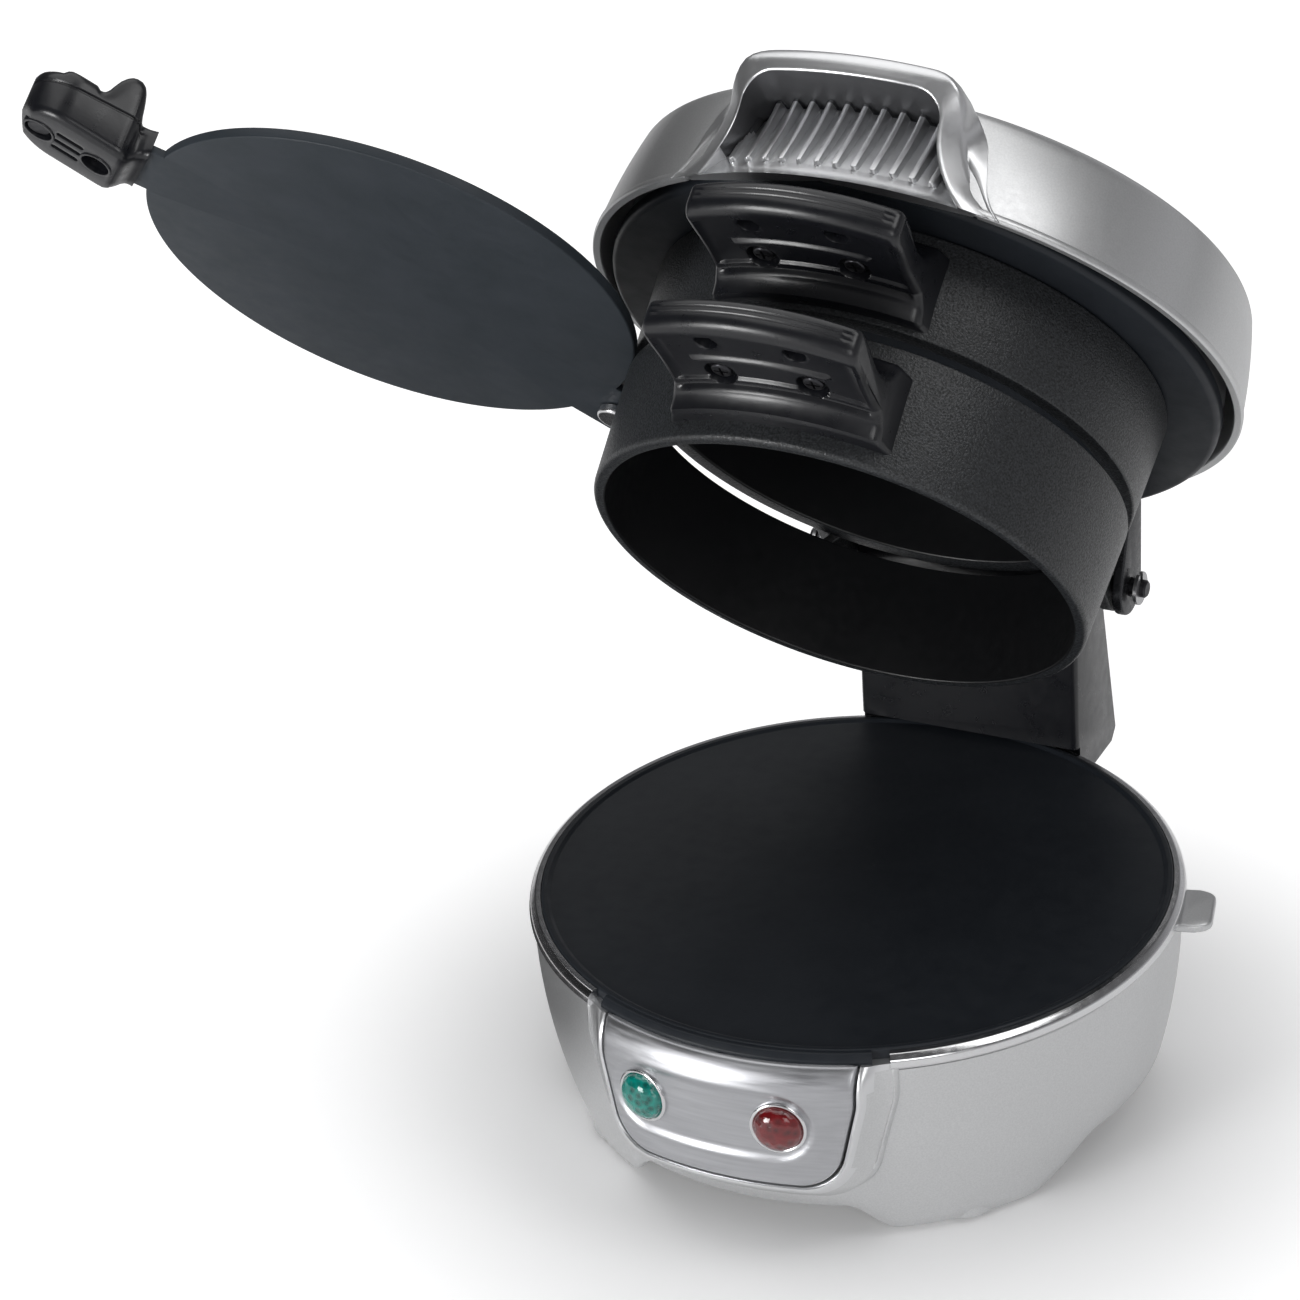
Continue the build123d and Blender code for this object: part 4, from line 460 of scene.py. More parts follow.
# %% [markdown]
# The frame comes with every part of the appliance in its place.  Those that are shown as they are
# get a finish by the material they are made of; the ones that show most are replaced further down.

# %% Give each part its finish
FINISH_OF_SLOT = {
    "silver": silver_paint, "panel_silver": brushed_silver, "bright": bright_metal,
    "nonstick": nonstick, "crinkle": crinkle, "phenolic": phenolic,
    "steel": plain["plain_steel"], "screw_steel": plain["black_screw"],
    "green_lens": green_jewel, "red_lens": red_jewel,
    "lamp": plain["ceramic"], "white_plastic": plain["ceramic"],
    "rubber": plain["foot_rubber"], "inner_plastic": plain["dark_plastic"],
    "sheet_steel": plain["galvanised"], "wire": plain["sleeve"],
}
slot_of_node = {part["node"]: part["material_slot"] for part in frame["record"]["subparts"]}
for name, node in frame["nodes"].items():
    for material_slot in node.material_slots:
        material_slot.material = FINISH_OF_SLOT[slot_of_node[name]]
for name in ("hinge_pin", "plate_handle_screws"):
    frame["nodes"][name].material_slots[0].material = plain["black_screw"]
print("finishes laid on", len(frame["nodes"]), "nodes")

# %% [markdown]
# Nearly every piece of this appliance is a turned form, a flat slab with rounded edges, or a skin
# stretched over a row of outlines.  Three small helpers make those, so that each piece below is
# only its own outline.  Round corners are true arcs, and edges get a rounded rim instead of a
# razor's edge, because a moulding always has one and it is what catches the light.

# %% Outlines


def even(first, last, parts):
    """Evenly spaced values from first to last, both included."""
    return [first + (last - first) * k / parts for k in range(parts + 1)]


def rounded(corners, steps=5):
    """A closed outline from corners (x, y, radius), each corner an arc."""
    points = []
    for index, (x, y, radius) in enumerate(corners):
        here = Vector((x, y))
        if not radius:
            points.append(here)
            continue
        towards = (Vector(corners[index - 1][:2]) - here).normalized()
        away = (Vector(corners[(index + 1) % len(corners)][:2]) - here).normalized()
        half = towards.angle(away) / 2
        middle = here + (towards + away).normalized() * (radius / math.sin(half))
        first = here + towards * (radius / math.tan(half)) - middle
        last = here + away * (radius / math.tan(half)) - middle
        turn = first.angle_signed(last)
        for step in range(steps + 1):
            points.append(middle + Matrix.Rotation(-turn * step / steps, 2) @ first)
    return points


def anticlockwise(outline):
    """The same outline, running anticlockwise."""
    area = sum(a.cross(b) for a, b in zip(outline, outline[1:] + outline[:1]))
    return outline if area > 0 else outline[::-1]


def inset(outline, distance):
    """An anticlockwise outline moved inwards by a distance, or outwards if it is negative."""
    moved = []
    for index, point in enumerate(outline):
        before = (point - outline[index - 1]).normalized()
        after = (outline[(index + 1) % len(outline)] - point).normalized()
        inwards = Vector((-before.y - after.y, before.x + after.x)).normalized()
        reach = max(0.4, inwards.dot(Vector((-before.y, before.x))))
        moved.append(point + inwards * (distance / reach))
    return moved


def circle(x, y, radius, steps=32):
    """A round outline."""
    turns = [2 * math.pi * step / steps for step in range(steps)]
    return [Vector((x + radius * math.cos(t), y + radius * math.sin(t))) for t in turns]


def corners_of(long, wide):
    """Outline of an oblong about the origin."""
    return [Vector((x * long / 2, y * wide / 2)) for x, y in ((-1, -1), (1, -1), (1, 1), (-1, 1))]


print("a rounded square takes", len(rounded([(0, 0, 1), (9, 0, 1), (9, 9, 1), (0, 9, 1)])), "points")

# %% [markdown]
# A skin joins rows of points with faces.  A turned form is a skin over one profile repeated round
# the Z axis, and a slab is a skin from the lower outline to the upper one with flat faces over
# both, which may have holes.

# %% Skins, turned forms and slabs


def skin(rows, round_trip=False, first_cap=False, last_cap=False):
    """Faces over rows of points; every row is a closed loop with as many points as the next."""
    bm = bmesh.new()
    loops = [[bm.verts.new(point) for point in row] for row in rows]
    pairs = list(zip(loops, loops[1:]))
    if round_trip:
        pairs.append((loops[-1], loops[0]))
    for a, b in pairs:
        for i in range(len(a)):
            j = (i + 1) % len(a)
            bm.faces.new((a[i], a[j], b[j], b[i]))
    if first_cap:
        bm.faces.new(loops[0][::-1])
    if last_cap:
        bm.faces.new(loops[-1])
    return bm


def turned(profile, start=0.0, sweep=360.0, steps=180):
    """A closed profile of (radius, height) points turned about the Z axis."""
    whole = sweep > 359.9
    count = steps if whole else steps + 1
    rows = []
    for step in range(count):
        angle = math.radians(start + sweep * step / steps)
        rows.append([
            Vector((p.x * math.cos(angle), p.x * math.sin(angle), p.y)) for p in profile
        ])
    bm = skin(rows, round_trip=whole, first_cap=not whole, last_cap=not whole)
    on_axis = [v for v in bm.verts if abs(v.co.x) < 1e-6 and abs(v.co.y) < 1e-6]
    if on_axis:
        bmesh.ops.remove_doubles(bm, verts=on_axis, dist=1e-4)
    return bm


def rim_rows(low, high, edge, steps=3):
    """(inset, height) pairs that round both edges of a slab; without an edge it stays square."""
    if not edge:
        return [(0, low), (0, high)]
    rows = []
    for step in range(steps + 1):
        angle = math.pi / 2 * step / steps
        rows.append((edge * (1 - math.sin(angle)), low + edge * (1 - math.cos(angle))))
    return rows + [(d, high + low - h) for d, h in reversed(rows)]


def slab(outer, low, high, edge=0.5, holes=(), steps=3):
    """A flat piece with the outline's shape in plan, from one height to another."""
    bm = bmesh.new()
    lowest, highest = [], []
    for outline, side in [(outer, 1)] + [(hole, -1) for hole in holes]:
        outline = anticlockwise(list(outline))
        rows = [
            [bm.verts.new((p.x, p.y, height)) for p in inset(outline, side * distance)]
            for distance, height in rim_rows(low, high, edge, steps)
        ]
        for a, b in zip(rows, rows[1:]):
            for i in range(len(a)):
                j = (i + 1) % len(a)
                bm.faces.new((a[i], a[j], b[j], b[i]))
        lowest.append(rows[0])
        highest.append(rows[-1])
    for loops in (lowest, highest):
        flat = [vert for loop in loops for vert in loop]
        for corners in tessellate_polygon([[v.co for v in loop] for loop in loops]):
            bm.faces.new([flat[i] for i in corners])
    return bm


def upright(bm):
    """Stands a slab up: its plan goes to (Y, Z) and its thickness to X."""
    bm.transform(Matrix(((0, 0, 1, 0), (1, 0, 0, 0), (0, 1, 0, 0), (0, 0, 0, 1))))
    return bm


def together(*parts):
    """Several meshes in one."""
    whole = bmesh.new()
    for part in parts:
        mesh = bpy.data.meshes.new("part")
        part.to_mesh(mesh)
        whole.from_mesh(mesh)
        bpy.data.meshes.remove(mesh)
        part.free()
    return whole


print("helpers for skins, turned forms and slabs ready")

# %% [markdown]
# Wells, slots and cut-outs are cut the way a die maker would, by taking one body away from
# another.  Blender's exact Boolean does it; the new sharp edges are then bevelled a little.

# %% Cutting, and turning a mesh into a piece
SAME_POINT = 0.002


def as_object(bm, name):
    """A loose object for a modifier to work on."""
    bmesh.ops.recalc_face_normals(bm, faces=bm.faces)
    mesh = bpy.data.meshes.new(name)
    bm.to_mesh(mesh)
    bm.free()
    thing = bpy.data.objects.new(name, mesh)
    bpy.context.scene.collection.objects.link(thing)
    return thing


def combine(body, tool, operation="DIFFERENCE", folded=False):
    """body with tool cut away, joined on or kept in common; folded if its skin may cross itself."""
    work, cutter = as_object(body, "work"), as_object(tool, "cutter")
    modifier = work.modifiers.new("cut", "BOOLEAN")
    modifier.operation, modifier.object, modifier.solver = operation, cutter, "EXACT"
    modifier.use_self = folded
    bpy.context.view_layer.update()
    evaluated = work.evaluated_get(bpy.context.evaluated_depsgraph_get())
    result = bmesh.new()
    result.from_mesh(evaluated.to_mesh())
    evaluated.to_mesh_clear()
    for thing in (work, cutter):
        mesh = thing.data
        bpy.data.objects.remove(thing)
        bpy.data.meshes.remove(mesh)
    bmesh.ops.remove_doubles(result, verts=result.verts, dist=SAME_POINT)
    return result


def soften(bm, width, above):
    """Rounds the edges that are sharper than an angle in degrees."""
    bm.normal_update()
    sharp = [
        edge for edge in bm.edges
        if edge.is_manifold and math.degrees(edge.calc_face_angle(0)) > above
    ]
    bmesh.ops.bevel(
        bm, geom=sharp, offset=width, segments=2, profile=0.5, affect="EDGES",
        clamp_overlap=True, loop_slide=True,
    )
    return bm


def piece(name, bm, place, body, slot, material, *nodes, crease=32, inside=None):
    """Makes the object, in metres, in its place; inside is a second finish and where it goes."""
    bmesh.ops.recalc_face_normals(bm, faces=bm.faces)
    if inside:
        for face in bm.faces:
            face.material_index = int(inside[1](face.calc_center_median()))
    bm.transform(Matrix.Scale(MM, 4) @ place)
    mesh = bpy.data.meshes.new(name)
    bm.to_mesh(mesh)
    bm.free()
    mesh.shade_smooth()
    mesh.set_sharp_from_angle(angle=math.radians(crease))
    mesh.materials.append(material)
    if inside:
        mesh.materials.append(inside[0])
    thing = bpy.data.objects.new(name, mesh)
    bpy.context.scene.collection.objects.link(thing)
    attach(thing, body)
    if nodes:
        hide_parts(*nodes)
    print(f"{name}: {len(mesh.polygons)} faces")


print("helpers for cutting and for pieces ready")

# %% [markdown]
# The base is a tapered drum on four legs.  A straight cut would give the arches hard corners, but
# on the real moulding they swing up from the table in one S-curve, so the lower edge is a height
# worked out for each direction round the drum, and the skirt is a skin between it and the rim.

# %% Base housing
BASE_R, SKIRT_MID_R, SKIRT_MID_Z, FOOT_R, FOOT_LIFT = 70.4, 68.3, 22.0, 62.6, 1.2
WALL, WALL_TOP = 2.2, 42
ARCH_R, ARCH_FROM = 64.5, 30
SIDE_ARCH, SIDE_ARCH_HALF, SIDE_ARCH_RUN = 11.4, 35.5, 16.5
FRONT_ARCH, FRONT_ARCH_HALF, FRONT_ARCH_RUN = 8.0, 32.5, 10.5
SHELF_IN_R, SHELF_OUT_R, SHELF_TOP, SHELF_LOW = 62.0, 68.2, 45.4, 44.0
PAD_PLACE_R, PAD_R, PAD_TOP = 56.5, 7, 4.2


def circle_through(a, b, c):
    """Centre and radius of the circle through three points."""
    d = 2 * (a.x * (b.y - c.y) + b.x * (c.y - a.y) + c.x * (a.y - b.y))
    squares = [p.x ** 2 + p.y ** 2 for p in (a, b, c)]
    x = (squares[0] * (b.y - c.y) + squares[1] * (c.y - a.y) + squares[2] * (a.y - b.y)) / d
    y = (squares[0] * (c.x - b.x) + squares[1] * (a.x - c.x) + squares[2] * (b.x - a.x)) / d
    return Vector((x, y)), (a - Vector((x, y))).length


SKIRT_CENTRE, SKIRT_BOW = circle_through(
    Vector((BASE_R, SEAM_Z)), Vector((SKIRT_MID_R, SKIRT_MID_Z)), Vector((FOOT_R, FOOT_LIFT))
)


def skirt_r(z):
    """Outer radius of the housing at a height."""
    return SKIRT_CENTRE.x + math.sqrt(SKIRT_BOW ** 2 - (z - SKIRT_CENTRE.y) ** 2)


def smooth_step(value):
    """Runs from 0 to 1 with level ends."""
    value = min(1.0, max(0.0, value))
    return value * value * (3 - 2 * value)


def lower_edge(angle):
    """Height of the skirt's edge: arches at the sides, and shallower ones front and back."""
    x, y = polar(ARCH_R, angle)
    side = SIDE_ARCH * smooth_step((SIDE_ARCH_HALF - abs(y)) / SIDE_ARCH_RUN)
    front = FRONT_ARCH * smooth_step((FRONT_ARCH_HALF - abs(x)) / FRONT_ARCH_RUN)
    return FOOT_LIFT + max(side if abs(x) > ARCH_FROM else 0, front if abs(y) > ARCH_FROM else 0)


def skirt_section(angle):
    """Closed section of the housing's wall in one direction."""
    foot = lower_edge(angle)
    foot_r = skirt_r(foot)
    outer = [(skirt_r(z), z) for z in even(foot + 0.7, SEAM_Z + 0.3, 14)]
    inner = [(skirt_r(z) - WALL, z) for z in even(WALL_TOP, foot + 0.7, 8)]
    lip = [
        (foot_r - WALL + 0.15, foot + 0.2), (foot_r - WALL + 0.6, foot),
        (foot_r - 0.6, foot), (foot_r - 0.15, foot + 0.2),
    ]
    shelf = [
        (BASE_R - 0.25, SEAM_Z + 0.3), (BASE_R - 0.9, SEAM_Z + 0.35), (BASE_R - 0.9, SEAM_Z + 0.8),
        (SHELF_OUT_R, SEAM_Z + 0.8), (SHELF_OUT_R, SHELF_TOP), (SHELF_IN_R, SHELF_TOP),
        (SHELF_IN_R, SHELF_LOW), (SHELF_OUT_R - 0.3, SHELF_LOW),
    ]
    return outer + shelf + inner + lip


housing_rows = []
for step in range(720):
    angle = step / 2
    housing_rows.append([Vector((*polar(r, angle), z)) for r, z in skirt_section(angle)])
housing = skin(housing_rows, round_trip=True)
foot_pads = [
    slab(circle(*polar(PAD_PLACE_R, angle), PAD_R), FOOT_LIFT, PAD_TOP, 0.3)
    for angle in (45, 135, 225, 315)
]
piece("housing", together(housing, *foot_pads), ON_BASE, "base", "silver", silver_paint,
      "base_housing")

# %% [markdown]
# A bright band lies round the top edge like a rounded shoulder.  It stops short of the control
# panel at the front, so it is turned through less than a full circle.

# %% Rim band
TRIM_GAP = 29.0
trim_profile = rounded([
    (68.75, SEAM_Z + 0.8, 0), (70.9, SEAM_Z + 0.8, 0.3), (71.35, SEAM_Z + 1.6, 0.5),
    (71.1, SEAM_Z + 3.0, 1.2), (69.9, RIM_Z - 0.5, 0.8), (68.75, RIM_Z - 0.4, 0),
])
piece(
    "rim_band", turned(trim_profile, 270 + TRIM_GAP, 360 - 2 * TRIM_GAP, 240), ON_BASE,
    "base", "bright", bright_metal, "base_rim_trim",
)

# %% [markdown]
# A small tab sticks out of the seam on the right, moulded with the housing.  Here it is a slab of
# its own, cut on the inside to the round of the drum so that it sits tight against it.

# %% Side tab
TAB_ANGLE, TAB_IN, TAB_BEND, TAB_END = 14.5, 67, 74, 77.6
TAB_HALF, TAB_END_HALF, TAB_LOW, TAB_TOP = 7.5, 6.2, SEAM_Z - 1.7, SEAM_Z + 0.3
tab = slab(rounded([
    (TAB_IN, -TAB_HALF, 0), (TAB_BEND, -TAB_HALF, 0), (TAB_END, -TAB_END_HALF, 3),
    (TAB_END, TAB_END_HALF, 3), (TAB_BEND, TAB_HALF, 0), (TAB_IN, TAB_HALF, 0),
]), TAB_LOW, TAB_TOP, 0.7)
drum_r = BASE_R + 0.05
drum = turned(rounded([(0, 30, 0), (drum_r, 30, 0), (drum_r, 60, 0), (0, 60, 0)]))
turned_aside = Matrix.Rotation(math.radians(TAB_ANGLE), 4, "Z")
piece("rim_tab", combine(tab, drum), turned_aside, "base", "silver", silver_paint, "side_tab")

# %% [markdown]
# The cooking surface is a coated casting.  It has a low raised rim, and over the control panel a
# lip that would carry a drip clear of the lamps.  The lip is a second turned form through an arc.

# %% Lower hotplate
HOTPLATE_R, HOTPLATE_LOW, LIP_START, LIP_SWEEP = 68.6, 46.8, 244, 52
plate_profile = rounded([
    (0, COOK_Z, 0), (66.5, COOK_Z, 0.6), (67.3, RIM_Z, 0.5), (HOTPLATE_R, RIM_Z, 0.6),
    (HOTPLATE_R, SEAM_Z + 0.9, 0), (66, SEAM_Z + 0.9, 0), (66, HOTPLATE_LOW, 0),
    (0, HOTPLATE_LOW, 0),
])
lip_profile = rounded([
    (67.4, RIM_Z - 0.15, 0), (69.4, RIM_Z - 0.25, 0.9), (70.5, RIM_Z - 1.6, 0.9),
    (70.5, SEAM_Z + 1.2, 0.4), (67.4, SEAM_Z + 1.1, 0),
])
piece(
    "lower_cooking_surface",
    together(turned(plate_profile, steps=240), turned(lip_profile, LIP_START, LIP_SWEEP, 60)),
    ON_BASE, "base", "nonstick", nonstick, "lower_hotplate",
)

# %% [markdown]
# The rings are castings: a turned wall with a rounded lower lip, two arms that reach back to the
# hinge pin, and a tongue that the handle is screwed to.  They are joined into one body each.  The
# bore is smooth and the outside is crinkled, and one finish can do both if it looks at the radius.

# %% Rings
PIN_R, RUNNING = 2.0, 0.05
LUG_R, LUG_T, BOTTOM_LUG_X, TOP_LUG_X = 6.0, 3.0, 27.3, 30.8
TONGUE_HALF, TONGUE_LOW, TONGUE_T, TONGUE_END_Y = 16.0, 11.0, 2.4, -70.0
SCREW_X, SCREW_Y, SCREW_HOLE_R = 10.0, -63.4, 1.6
LOWER_WALL, UPPER_WALL = (54.0, 55.3), (55.5, 56.5)  # radius at the lower and the upper edge
LOWER_ARM_ROOT, UPPER_ARM_ROOT = (50.0, 69.5), (47.5, 91.0)  # Y and Z where the arms begin


def hull(*circles):
    """Outline of a band stretched round circles (x, y, radius)."""
    points = [point for x, y, radius in circles for point in circle(x, y, radius, 48)]
    return [points[i] for i in convex_hull_2d(points)]


def rod(radius, low, high, x=0.0, y=0.0, steps=48):
    """A plain upright cylinder, for cutting."""
    return slab(circle(x, y, radius, steps), low, high, 0)


def ring_wall(low, top, r_low, r_top, edge):
    """The turned wall of a ring."""
    return turned(rounded([
        (BORE_R, low, 0.5), (r_low, low, edge), (r_top, top, 0.4), (BORE_R, top, 0.4),
    ], 6), steps=256)


def hinge_arm(x, root_y, root_z):
    """One flat arm with the pin's hole, cut off at the bore."""
    outline = hull((root_y, root_z, 5), (HINGE_Y, HINGE_Z, LUG_R))
    hole = circle(HINGE_Y, HINGE_Z, PIN_R + RUNNING)
    arm = upright(slab(outline, x, x + LUG_T, 0.4, [hole]))
    return combine(arm, rod(BORE_R + 1.5, 40, 120, steps=128))


def ring_tongue(low):
    """Flat tongue inside the handle, with two screw holes."""
    start = -BORE_R - 1
    outline = rounded([
        (-TONGUE_HALF, start, 0), (-TONGUE_HALF, TONGUE_END_Y, 3), (TONGUE_HALF, TONGUE_END_Y, 3),
        (TONGUE_HALF, start, 0),
    ])
    holes = [circle(x, SCREW_Y, SCREW_HOLE_R, 16) for x in (-SCREW_X, SCREW_X)]
    return slab(outline, low + TONGUE_LOW, low + TONGUE_LOW + TONGUE_T, 0.2, holes, 1)


bottom_ring = ring_wall(RING_LOW, RING_TOP, *LOWER_WALL, 1.3)
for x in (-BOTTOM_LUG_X - LUG_T, BOTTOM_LUG_X):
    bottom_ring = combine(bottom_ring, hinge_arm(x, *LOWER_ARM_ROOT), "UNION")
bottom_ring = combine(bottom_ring, ring_tongue(RING_LOW), "UNION")
BORE_FINISH = (bore_black, lambda place: math.hypot(place.x, place.y) < BORE_R + 0.4)
piece("lower_ring_casting", bottom_ring, ON_RINGS, "lower_ring", "crinkle", crinkle, "bottom_ring",
      inside=BORE_FINISH)

# %% [markdown]
# The upper ring is made the same way and has one thing more: a lug on the left that carries the
# pin on which the cooking plate swings.  The lug is a band stretched round two circles, cut off at
# the bore and drilled.

# %% Upper ring
UPPER_HANDLE_LIFT = 27.2
PIVOT_LUG_R, PIVOT_LUG_ROOT, PIVOT_LUG_H, PIVOT_PIN_R = 6.5, 50, 5.6, 3.0
pivot_lug = slab(
    hull((*PIVOT[:2], PIVOT_LUG_R), (*polar(PIVOT_LUG_ROOT, PIVOT_ANGLE), PIVOT_LUG_R)),
    UPPER_LOW, UPPER_LOW + PIVOT_LUG_H, 0.6,
)
pivot_lug = combine(pivot_lug, rod(BORE_R + 1.5, 70, 100, steps=128))
pivot_lug = combine(pivot_lug, rod(PIVOT_PIN_R, 70, 100, *PIVOT[:2]))
top_ring = ring_wall(UPPER_LOW, UPPER_TOP, *UPPER_WALL, 0.5)
for x in (-TOP_LUG_X - LUG_T, TOP_LUG_X):
    top_ring = combine(top_ring, hinge_arm(x, *UPPER_ARM_ROOT), "UNION")
top_ring = combine(top_ring, pivot_lug, "UNION")
top_ring = combine(top_ring, ring_tongue(RING_LOW + UPPER_HANDLE_LIFT), "UNION")
piece("upper_ring_casting", top_ring, ON_RINGS, "upper_ring", "crinkle", crinkle, "top_ring",
      inside=BORE_FINISH)

# %% [markdown]
# Both rings carry a handle, held from below by two screws that will sit deep in its wells.  Only
# their heads show, with a cross for the driver, so that is where the detail goes: a turned pan
# with two slots cut across.

# %% Screws of the ring handles
HANDLES = (  # ring's body, its CAD name, lift of the handle, radius of the wall behind it
    ("lower_ring", "bottom_ring", 0, 54.0), ("upper_ring", "top_ring", UPPER_HANDLE_LIFT, 55.2),
)
HEAD_R, HEAD_H, CROSS_DEPTH, CROSS_WIDE = 2.3, 1.4, 0.8, 0.5
SHANK_R, SHANK_END = 1.4, 3.8


def screw():
    """A pan head with a cross recess, its face down and its shank up, the seat at Z = 0."""
    head = turned(rounded([
        (0, -HEAD_H, 0), (HEAD_R, -HEAD_H, 0.6), (HEAD_R, 0, 0.1), (SHANK_R, 0, 0),
        (SHANK_R, SHANK_END, 0.3), (0, SHANK_END, 0),
    ], 3), steps=32)
    for long, wide in ((HEAD_R * 1.3, CROSS_WIDE), (CROSS_WIDE, HEAD_R * 1.3)):
        slot = slab(corners_of(long, wide), -HEAD_H - 1, CROSS_DEPTH - HEAD_H, 0)
        head = combine(head, slot)
    return head


for body, ring, lift, _ in HANDLES:
    screws = [screw(), screw()]
    for one, x in zip(screws, (-SCREW_X, SCREW_X)):
        one.transform(Matrix.Translation((x, SCREW_Y, RING_LOW + lift + TONGUE_LOW)))
    piece(body + "_screws", together(*screws), ON_RINGS, body, "screw_steel",
          plain["black_screw"], ring + "_handle_screws")

# %% [markdown]
# Both rings have the same moulded handle.  Its side view hardly changes along its width, so it is
# a skin over one profile, moved across from left to right.  On the way the profile slides back a
# little to bow the nose, and the hollow underneath, its bar and the groove at the fold fade out
# towards the sides.  Four wells are cut into the underside at the end.

# %% Ring handles
NOSE_Y, FOLD_Y, ROOT_Y, FLAT_ROOT_Y = -83.0, -61.4, -52, -50
NOSE_LOW, NOSE_TOP, NOSE_ROUND, TOP_ROUND = 8.8, 15.9, 3.0, 1.3
ROOT_LOW, FLANGE_TOP = 4.0, 21.5
NOSE_BOW, GRIP_HALF, FLARE = 57.4, 23.2, 1.2
HOLLOW_DEPTH, GROOVE_DEPTH, GROOVE_Y, GROOVE_HALF = 0.7, 0.8, -60.7, 0.55
BAR_Y, BAR_HALF, BAR_HALF_Y = -70.2, 15.0, 0.9
END_ROUND, END_FADE_X, END_FADE, HANDLE_SPAN = 1.3, 21.4, 0.8, 0.955
NOSE_RIDGES, RIDGE_OUT = (12.6, 13.9), 0.14


def ridge(value, half):
    """A rounded ridge of height 1 and the given half-width, round zero."""
    return math.cos(min(1.0, abs(value) / half) * math.pi / 2) ** 2


def blend(table, value):
    """Straight-line reading of a table of (place, value) pairs."""
    for (a, low), (b, high) in zip(table, table[1:]):
        if value <= b:
            return low + (high - low) * max(0.0, (value - a) / (b - a))
    return table[-1][1]


FOLD_SHAPE = ((57.0, ROOT_LOW), (58.4, ROOT_LOW + 0.3), (59.2, 6.7), (-FOLD_Y, NOSE_LOW))


def off_the_ends(x):
    """1 all along the handle and 0 on its end faces."""
    return smooth_step((END_FADE_X - abs(x)) / END_FADE)


def underside(y, x):
    """Height of the handle's underside over the lower edge of its ring."""
    hollow = smooth_step((y + 79.2) / 0.4) * smooth_step((-62.6 - y) / 0.5)
    bar = ridge(y - BAR_Y, BAR_HALF_Y) ** 0.5 * smooth_step((BAR_HALF - abs(x)) / 0.5)
    rise = HOLLOW_DEPTH * hollow * (1 - 1.25 * bar)
    rise += GROOVE_DEPTH * ridge(y - GROOVE_Y, GROOVE_HALF)
    return blend(FOLD_SHAPE, -y) + off_the_ends(x) * rise


UNDER_Y = [
    -56.4, -57.0, -57.6, -58.4, -59.2, -59.9, -60.15, -60.4, -60.7, -61.0, -61.25, -61.5, -61.9,
    -62.3, -62.6, -62.75, -62.9, -63.1, *even(-64, -68.5, 3), *even(-69.2, -71.2, 10),
    *even(-72, -78, 4), *even(-78.7, -79.2, 5), -79.6, NOSE_Y + NOSE_ROUND,
]
HANDLE_BACK = [
    (-77.5, 15.85), (-73.5, 15.5), (-71.0, 15.35), (-68.6, 15.3), (-66.2, 15.5), (-64.0, 16.1),
    (-62.2, 17.0), (-60.9, 18.2), (-60.0, 19.5), (-59.5, 20.5), (-59.2, 21.0), (-58.8, 21.35),
    (-58.2, FLANGE_TOP),
]


def handle_profile(x):
    """Side view of the handle at a distance from its middle, as (y, height) points."""
    points = [(y, underside(y, x)) for y in UNDER_Y]
    for turn in even(0, math.pi / 2, 6)[1:]:
        height = NOSE_LOW + NOSE_ROUND * (1 - math.cos(turn))
        points.append((NOSE_Y + NOSE_ROUND * (1 - math.sin(turn)), height))
    for ridge_z in NOSE_RIDGES:
        for rise, out in ((-0.3, 0), (-0.12, RIDGE_OUT), (0.12, RIDGE_OUT), (0.3, 0)):
            points.append((NOSE_Y + out * off_the_ends(x), ridge_z + rise))
    for turn in even(0, math.pi / 2, 4):
        height = NOSE_TOP - TOP_ROUND * (1 - math.sin(turn))
        points.append((NOSE_Y + TOP_ROUND * (1 - math.cos(turn)), height))
    return points + HANDLE_BACK


def half_width(y):
    """Half the handle's width, which flares towards the ring."""
    return GRIP_HALF - 0.7 * smooth_step((y + 80) / 12) + FLARE * max(0.0, (y + 66) / 12) ** 2


def handle_stations():
    """(inset, end, place) of each section: a rounded end, even steps across, the other end."""
    rounding = [
        (END_ROUND * (1 - math.sin(turn)), END_ROUND * (1 - math.cos(turn)))
        for turn in even(0, math.pi / 2, 4)
    ]
    left = [(shrink, -1, inwards) for shrink, inwards in rounding]
    across = [(0, 0, place) for place in even(-HANDLE_SPAN, HANDLE_SPAN, 48)[1:-1]]
    return left + across + [(shrink, 1, inwards) for shrink, inwards in reversed(rounding)]


def handle_row(shrink, end, place, low, wall_r):
    """One section of the handle, bent to the bow of its nose and fitted to the ring's wall."""
    x_of_profile = (GRIP_HALF - END_ROUND) * (end or place / HANDLE_SPAN)
    outline = [Vector(p) for p in handle_profile(x_of_profile)]
    outline += [Vector((FLAT_ROOT_Y, FLANGE_TOP)), Vector((FLAT_ROOT_Y, ROOT_LOW))]
    row = []
    for point in inset(outline[::-1], shrink):
        half = half_width(point.x)
        x = end * (half - place) if end else place * half
        y = point.x + NOSE_BOW - math.sqrt(NOSE_BOW ** 2 - x ** 2)
        if point.x > ROOT_Y:
            y = -math.sqrt(wall_r ** 2 - x ** 2)
        row.append(Vector((x, y, low + point.y)))
    return row


